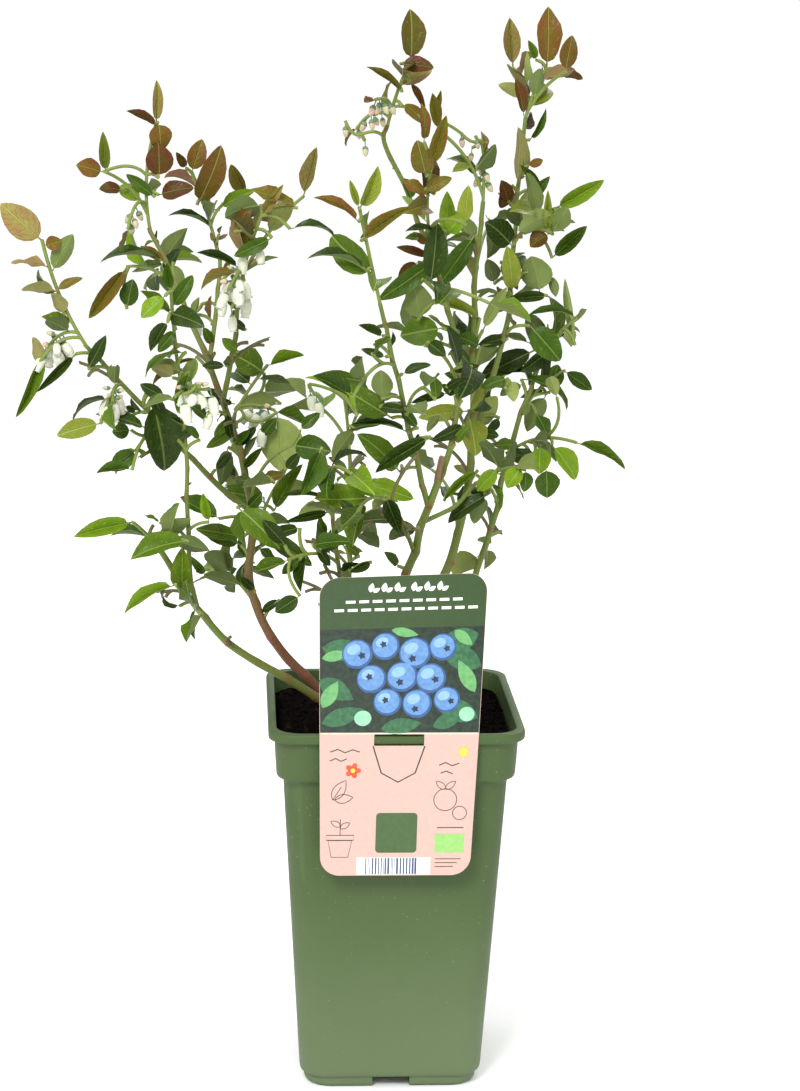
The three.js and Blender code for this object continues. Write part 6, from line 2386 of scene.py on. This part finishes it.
def leaf_outline(x: float, z: float, length: float, width: float, turn: float) -> Outline:
    """A leaf's outline on the card, from its stalk's end.

    Args:
        x: the stalk end's place across the card.
        z: its height.
        length: the leaf's length.
        width: its width.
        turn: where it points, in degrees from across the card.

    Returns:
        Its corners.
    """
    c, s = math.cos(math.radians(turn)), math.sin(math.radians(turn))
    made = []
    for i in range(20):
        t = i / 10 if i <= 10 else 2 - i / 10
        half = 0.5 * width * math.sin(math.pi * t**0.85) ** 0.9 * (1 if i <= 10 else -1)
        made.append((x + c * t * length - s * half, z + s * t * length + c * half))
    return made


def stroke(points: Outline, width: float, closed: bool = False) -> Outline:
    """A thin line's outline on the card.

    Args:
        points: where the line passes.
        width: how thick it is.
        closed: whether it runs back to its start.

    Returns:
        Its corners.
    """
    line = [Vector(p) for p in points]
    count = len(line)
    left, right = [], []
    for i, p in enumerate(line):
        before = line[i - 1] if i or closed else line[0]
        after = line[(i + 1) % count] if i < count - 1 or closed else line[-1]
        along = (after - before).normalized()
        aside = Vector((-along.y, along.x)) * (width / 2)
        left.append(tuple(p + aside))
        right.append(tuple(p - aside))
    if closed:
        left.append(left[0])
        right.append(right[0])
    return [*left, *reversed(right)]


@dataclass
class Label:
    """The laminated card that hangs on the rim, with a print of its own."""

    foot: float = 133
    top: float = 300.5
    top_width: float = 91
    foot_width: float = 81.5
    corner: float = 10.5
    thickness: float = 0.6
    twist: float = 9
    front: float = -70.9
    rim: float = 212
    window: float = 27
    window_foot: float = 206.4
    lean: float = 0.0155  # how far it leans to the right for each unit of height
    upright_at: float = 190
    tab_half: float = 12.5
    tab_depth: float = 7
    tab_drop: float = 1.8
    print_lift: float = 0.06  # how far the lowest print stands out from the card
    print_step: float = 0.05  # and how much further each print over it
    # dark ink for the fine lines, and also for the painted shadow in the cut round the tongue
    ink_and_cut_shade: tuple[Paint, Paint] = ((34, 32, 34), (52, 48, 50))

    def depth(self, x: float, z: float) -> float:
        """How far back a point of the card lies, as its free upper end is twisted."""
        share = max(0.0, z - self.rim) / (self.top - self.rim)
        return math.tan(math.radians(self.twist * share)) * x

    def half_width(self, z: float) -> float:
        """Half the card's width at a height, without its round corners."""
        share = (z - self.foot) / (self.top - self.foot)
        return (self.foot_width + (self.top_width - self.foot_width) * share) / 2

    def outline(self, low: float, high: float, inset: float = 0.0) -> Outline:
        """The card's outline between two heights, round where it reaches an end.

        Args:
            low: the lower height.
            high: the upper height.
            inset: how far it stays inside the card's edge.

        Returns:
            Its corners, anticlockwise.
        """
        heights = [low, high, self.foot + self.corner, self.top - self.corner]
        for i in range(1, 12):
            rise = self.corner * (1 - math.cos(math.pi / 2 * i / 12))
            heights += [self.foot + rise, self.top - rise]
        right = []
        for z in sorted({round(z, 4) for z in heights if low <= z <= high}):
            short = max(0.0, self.corner - min(z - self.foot, self.top - z))
            cut = self.corner - math.sqrt(max(0.0, self.corner**2 - short**2))
            right.append((self.half_width(z) - cut - inset, z))
        return [*right, *((-x, z) for x, z in reversed(right))]

    def sheet(self, shapes: Iterable[Outline], lift: float, thick: float,
              holes: Sequence[Outline] = ()) -> Solids:
        """Thin closed bodies with given outlines that lie along the card.

        Args:
            shapes: the outlines of the bodies.
            lift: how far their faces stand out in front of the card's face.
            thick: how thick they are.
            holes: openings in the first body.

        Returns:
            The bodies.
        """
        made = Solids()
        for number, shape in enumerate(shapes):
            loops = [[Vector((x, z, 0)) for x, z in loop] for loop in (shape, *(() if number else holes))]
            corners = [p for loop in loops for p in loop]
            work = bmesh.new()
            verts = [work.verts.new(p) for p in corners]
            for face in tessellate_polygon(loops):
                try:
                    work.faces.new([verts[i] for i in face])
                except ValueError:  # the same sliver came twice
                    continue
            self.cut_across(work, *reach_of(corners))
            bmesh.ops.recalc_face_normals(work, faces=work.faces)
            if work.faces and sum(f.normal.z * f.calc_area() for f in work.faces) < 0:
                bmesh.ops.reverse_faces(work, faces=work.faces)
            work.verts.index_update()
            front = []
            for x, z, _ in (vert.co for vert in work.verts):
                y = self.front - lift + self.depth(x, z)
                front.append(Vector((x + self.lean * (z - self.upright_at), y, z)))
            count = len(front)
            faces: Faces = []
            for f in work.faces:
                ids = [v.index for v in f.verts]
                faces += [tuple(ids), tuple(count + i for i in reversed(ids))]
            for loop in (edge.link_loops[0] for edge in work.edges if edge.is_boundary):
                a, b = loop.vert.index, loop.link_loop_next.vert.index
                faces.append((b, a, count + a, count + b))
            work.free()
            made.add([*front, *(p + Vector((0, thick, 0)) for p in front)], faces)
        return made

    def cut_across(self, work: bmesh.types.BMesh, low: Vector, high: Vector) -> None:
        """Cuts a flat shape into strips, so that it can follow the card's twist.

        Args:
            work: the flat shape.
            low: its lowest corner.
            high: its highest corner.
        """
        heights = np.arange(self.rim - 2, self.top, 3.5)
        cuts = [((0, z, 0), (0, 1, 0)) for z in heights if low.y < z < high.y]
        if high.x - low.x > 30:
            cuts += [((x, 0, 0), (1, 0, 0)) for x in range(-40, 41, 10)]
        for place, normal in cuts:
            everything = [*work.verts, *work.edges, *work.faces]
            bmesh.ops.bisect_plane(work, geom=everything, plane_co=place, plane_no=normal)

    def print_on(self, name: str, layer: int, colour: Paint, other: Paint, shapes: Iterable[Outline]) -> None:
        """Prints outlines on the card as one piece.

        Args:
            name: the piece's name.
            layer: how many prints lie under it.
            colour: its colour.
            other: a near colour that it shades into.
            shapes: the outlines.
        """
        name = "print_" + name
        lift = self.print_lift + self.print_step * layer
        mesh = self.sheet(shapes, lift, lift - 0.01).mesh(name)
        settle(put(name, mesh, Finish(name, srgb(*colour), srgb(*other)), False), "card")

    def build(self) -> None:
        """Makes the card, its tab and its print."""
        half, high = self.window / 2, self.rim + 1.6
        hole = [(-half, self.window_foot), (half, self.window_foot), (half, high), (-half, high)]
        card = self.sheet([self.outline(self.foot, self.top)], 0, self.thickness, [hole])
        foot = self.rim + 0.3
        for deep, high in ((self.tab_depth, foot + self.thickness), (self.thickness, foot + self.tab_drop)):
            low_corner = Vector((-self.tab_half, self.front, foot))
            card.add_box(low_corner, Vector((self.tab_half, self.front + deep, high)))
        paper = Finish("card_blush", srgb(203, 171, 160), srgb(198, 165, 153))
        settle(put("label_sheet", card.mesh("label_sheet"), paper, False), "card", "label_card")
        self.head()
        self.picture()
        self.lower_part()
        self.garden_marks()

    def head(self) -> None:
        """Prints the green head with plain white rules and leaf marks."""
        self.print_on("head", 0, (48, 73, 30), (44, 68, 28), [self.outline(272, self.top, 0.25)])
        marks, tall = [], 5.2
        for x in (-18, -11, -4, 5, 12, 19):
            marks.append(leaf_outline(x, 292, tall, 3.2, 78))
            marks.append(leaf_outline(x + 1.6, 292, tall * 0.8, 2.4, 32))
        for z, wide in ((286.2, 31), (281.6, 37)):
            marks += [self.bar(x, z, 5.2, 1.5) for x in np.arange(-wide, wide, 7.2)]
        self.print_on("marks", 1, (240, 243, 236), (232, 238, 228), marks)

    @staticmethod
    def bar(x: float, z: float, wide: float, high: float) -> Outline:
        """A small bar from its lower left corner."""
        return [(x, z), (x + wide, z), (x + wide, z + high), (x, z + high)]

    def picture(self) -> None:
        """Prints a generic picture of round blue fruit among leaves."""
        self.print_on("ground", 0, (18, 26, 22), (34, 58, 40), [self.outline(213.9, 272, 0.25)])
        far = (
            (-43, 262, 26, 12, -8), (-44, 244, 22, 11, -32), (41, 268, 24, 13, -160), (43, 250, 26, 13, -205),
            (42, 222, 26, 12, 160), (-42, 219, 24, 10, 20), (-10, 216, 22, 9, 8), (18, 217, 18, 8, 24),
        )
        self.print_on("leaves_far", 1, (36, 84, 56), (58, 112, 70), (leaf_outline(*row) for row in far))
        near = (
            (-42, 228, 17, 8, 62), (40, 236, 20, 8, 118), (-43, 256, 15, 6, 10), (28, 270, 13, 6, -40),
            (-6, 271, 15, 5, -12),
        )
        self.print_on("leaves_near", 2, (86, 150, 92), (112, 172, 104), (leaf_outline(*row) for row in near))
        fruit = ((-24, 258, 8.2), (-9, 262, 7.6), (7, 258, 8.6), (22, 261, 7.4), (-16, 244, 8.0),
                 (0.5, 245, 8.4), (16, 244, 8.2), (-7, 231, 7.6), (9, 230, 8.0), (25, 232, 7.2))
        rims = [ellipse(x, z, r, r) for x, z, r in fruit]
        self.print_on("fruit_rim", 3, (44, 78, 128), (56, 92, 144), rims)
        balls = [ellipse(x - 0.3, z + 0.4, r * 0.88, r * 0.86) for x, z, r in fruit]
        self.print_on("fruit", 4, (84, 128, 180), (104, 148, 196), balls)
        bloom = [ellipse(x - r * 0.25, z + r * 0.32, r * 0.45, r * 0.34, 20, 20) for x, z, r in fruit]
        self.print_on("fruit_bloom", 5, (142, 180, 214), (126, 168, 206), bloom)
        crowns = []
        for i, (x, z, r) in enumerate(fruit):
            cx, cz = x + r * 0.3 * math.cos(i * 2.1), z + r * 0.3 * math.sin(i * 2.1) - 0.8
            points = [(r * (0.27 if k % 2 else 0.16), math.pi * k / 5) for k in range(10)]
            crowns.append([(cx + far * math.cos(a), cz + far * math.sin(a)) for far, a in points])
        self.print_on("fruit_crowns", 6, (24, 38, 66), (36, 50, 76), crowns)
        unripe = [ellipse(x, z, r, r * 0.94) for x, z, r in ((-20, 222, 4.6), (36, 224, 4.2))]
        self.print_on("fruit_green", 4, (132, 190, 158), (150, 204, 168), unripe)

    def lower_part(self) -> None:
        """Prints the lower part: a dark line as painted shadow in the cut round the tongue, plain panels and
        stripes.
        """
        # Painted shadow: the cut round the tongue is a dark ink line on the card, not an opening.
        slit = stroke([(-14, 206.3), (-9.2, 191.2), (0, 186), (9.2, 191.2), (14, 206.3)], 0.7)
        self.print_on("slit", 0, *self.ink_and_cut_shade, [slit])
        self.print_on("edge_line", 1, (206, 214, 196), (190, 202, 180), [self.bar(-42.2, 212.9, 84.4, 0.7)])
        self.print_on("panel", 0, (60, 86, 42), (66, 92, 48), [self.rounded(-11.2, 146, 22.4, 22.6, 2)])
        bright = self.rounded(21, 146, 16, 10.6, 0.4)
        self.print_on("bright_panel", 0, (146, 197, 110), (136, 188, 101), [bright])
        ground = self.bar(-21, 133.6, 40, 9.6)
        self.print_on("stripe_ground", 0, (244, 245, 248), (238, 240, 244), [ground])
        run, x, bars = Run("stripes"), -16.4, []
        while x < 11:
            wide = 0.35 + 0.25 * int(run() * 4)
            bars.append(self.bar(x, 133.8, wide, 9.2))
            x += wide + 0.35 + 0.25 * int(run() * 3)
        self.print_on("stripes", 1, (58, 72, 104), (70, 84, 116), bars)

    def garden_marks(self) -> None:
        """Prints the small garden marks and plain rules."""
        strokes = [
            (leaf_outline(-35, 176, 13, 6.5, 58), 0.38, True),
            ([(-35, 176), (-30.5, 183.4)], 0.35),
            (leaf_outline(-34, 176, 10, 5, 8), 0.38, True),
            ([(-37, 153), (-24, 153), (-26, 143.5), (-35, 143.5)], 0.38, True),
            ([(-38, 156), (-23, 156), (-23, 153.2), (-38, 153.2)], 0.38, True),
            ([(-30.5, 156), (-30.5, 165)], 0.38),
            (leaf_outline(-30.5, 160, 6, 3, 30), 0.35, True),
            (leaf_outline(-30.5, 161, 6, 3, 150), 0.35, True),
            (ellipse(26, 176, 6.2, 6.2, 30), 0.38, True),
            (leaf_outline(26, 182, 7, 3.2, 40), 0.35, True),
            (leaf_outline(26, 182, 7, 3.2, 140), 0.35, True),
            (ellipse(34, 168.5, 3.8, 3.8, 26), 0.38, True),
            ([(-37, 203), (-33, 204.5), (-29, 202.6), (-25, 204.2), (-21, 203)], 0.55),
            ([(-37, 198), (-34, 199.4), (-31, 197.8), (-28, 199.2)], 0.55),
            ([(22, 195.5), (25.5, 197), (29, 195.2), (33, 196.6)], 0.55),
            ([(23, 191), (26, 192.2), (29.5, 190.6)], 0.55),
            ([(22, 160.2), (36.5, 160.2)], 0.5),
            *(([(21.5, z), (35.5 - 2 * i, z)], 0.4) for i, z in enumerate((142.4, 140.2, 138.0))),
        ]
        self.print_on("fine_lines", 0, *self.ink_and_cut_shade, (stroke(*row) for row in strokes))
        petals = [
            ellipse(-24.5 + 2.5 * math.cos(a), 192.5 + 2.5 * math.sin(a), 1.9, 1.5, 14, math.degrees(a))
            for a in np.arange(5) * 1.2566
        ]
        self.print_on("red_bloom", 0, (226, 88, 56), (212, 76, 48), petals)
        marks = [ellipse(35, 203, 2.3, 2.3, 18), ellipse(-24.5, 192.5, 1.3, 1.3, 12)]
        for a in np.arange(8) * 0.7854:
            ray = [(35 + far * math.cos(a), 203 + far * math.sin(a)) for far in (3.0, 4.4)]
            marks.append(stroke(ray, 0.6))
        self.print_on("yellow_marks", 1, (238, 206, 66), (230, 194, 56), marks)

    @staticmethod
    def rounded(x: float, z: float, wide: float, high: float, radius: float) -> Outline:
        """A bar with round corners.

        Args:
            x: its lower left corner's place across the card.
            z: that corner's height.
            wide: its width.
            high: its height.
            radius: its corners' radius.

        Returns:
            Its corners.
        """
        made = []
        for cx, cz, base in ((x + wide - radius, z + high - radius, 0), (x + radius, z + high - radius, 90),
                             (x + radius, z + radius, 180), (x + wide - radius, z + radius, 270)):
            for i in range(6):
                a = math.radians(base + 18 * i)
                made.append((cx + radius * math.cos(a), cz + radius * math.sin(a)))
        return made


# ---------------------------------------------------------------- stage
@dataclass
class Stage:
    """The pale floor, the soft light and the camera."""

    target: tuple[float, float, float] = (3.45, 0, 301.3)
    distance: float = 1528
    elevation: float = 12.414
    azimuth: float = -3.529
    roll: float = 0.8955
    lens: float = 90.6
    floor_reach: float = 60000
    low_light: float = 0.3  # the room's brightness at the horizon
    high_light: float = 1.5  # and straight above

    def floor(self) -> None:
        """Lays a wide pale floor."""
        reach, turns = self.floor_reach, np.arange(64) * (2 * math.pi / 64)
        points = [Vector((reach * math.cos(a), reach * math.sin(a), 0)) for a in turns]
        n = Nodes("floor_pale")
        n.surface(n.mix(n.span(n.noise(3), 0.3, 0.7), srgb(250, 250, 250), srgb(248, 248, 248)), 0.9, 0.1)
        floor = put("floor", mesh_of("floor", points, [tuple(range(64))]), None, False)
        floor.data.materials.append(n.material)

    def lights(self) -> None:
        """Hangs the soft boxes and brightens the room."""
        world = bpy.data.worlds.new("room")
        world.use_nodes = True
        n = NodeTree(world.node_tree)
        place = n.node("ShaderNodeTexCoord").outputs["Generated"]
        height = n.node("ShaderNodeSeparateXYZ", {0: place}).outputs["Z"]
        levels = {0: height, 1: 0, 2: 1, 3: self.low_light, 4: self.high_light}
        room = n.tree.nodes["Background"]
        room.inputs[0].default_value = (1, 1, 1, 1)
        n.tree.links.new(n.node("ShaderNodeMapRange", levels).outputs[0], room.inputs[1])
        bpy.context.scene.world = world
        for name, place, size, power in (
            ("key", (-0.7, -1.6, 1.7), 0.7, 39), ("fill", (1.6, -1.3, 0.8), 0.8, 5),
            ("back", (0.5, 1.5, 1.5), 0.8, 9),
        ):
            lamp = bpy.data.lights.new(name, "AREA")
            lamp.size, lamp.energy = size, power
            obj = placed(name, lamp)
            obj.location = place
            obj.rotation_mode = "QUATERNION"
            obj.rotation_quaternion = (Vector((0, 0, 0.33)) - Vector(place)).to_track_quat("-Z", "Y")

    def axes(self) -> tuple[Vector, Vector, Vector]:
        """The camera's directions to its right, up and back."""
        a, e, r = (math.radians(v) for v in (self.azimuth, self.elevation, self.roll))
        back = Vector((math.sin(a) * math.cos(e), -math.cos(a) * math.cos(e), math.sin(e)))
        right = UP.cross(back).normalized()
        up = back.cross(right)
        return right * math.cos(r) + up * math.sin(r), up * math.cos(r) - right * math.sin(r), back

    def camera(self) -> None:
        """Sets the camera up."""
        right, up, back = self.axes()
        data = bpy.data.cameras.new("camera")
        data.lens, data.sensor_width, data.clip_end = self.lens, FILM, 200
        camera = placed("camera", data)
        eye = Matrix.Translation((Vector(self.target) + back * self.distance) * MM)
        camera.matrix_world = eye @ Matrix((right, up, back)).transposed().to_4x4()
        bpy.context.scene.camera = camera

    def build(self) -> None:
        """Makes floor, lights and camera."""
        self.floor()
        self.lights()
        self.camera()
        bpy.context.scene.view_settings.view_transform = "Standard"


def main() -> None:
    """Builds the whole scene in order."""
    logging.basicConfig(level=logging.INFO, format="%(name)s %(message)s")
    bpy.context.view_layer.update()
    Stage().build()
    Pot().build()
    Compost().build()
    Label().build()
    growth = Growth()
    growth.grow()
    Canes(growth).build()
    Twigs(growth).build()
    Foliage(growth).build()
    Blossom(growth).build()
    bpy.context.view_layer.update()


if __name__ == "__main__":
    main()
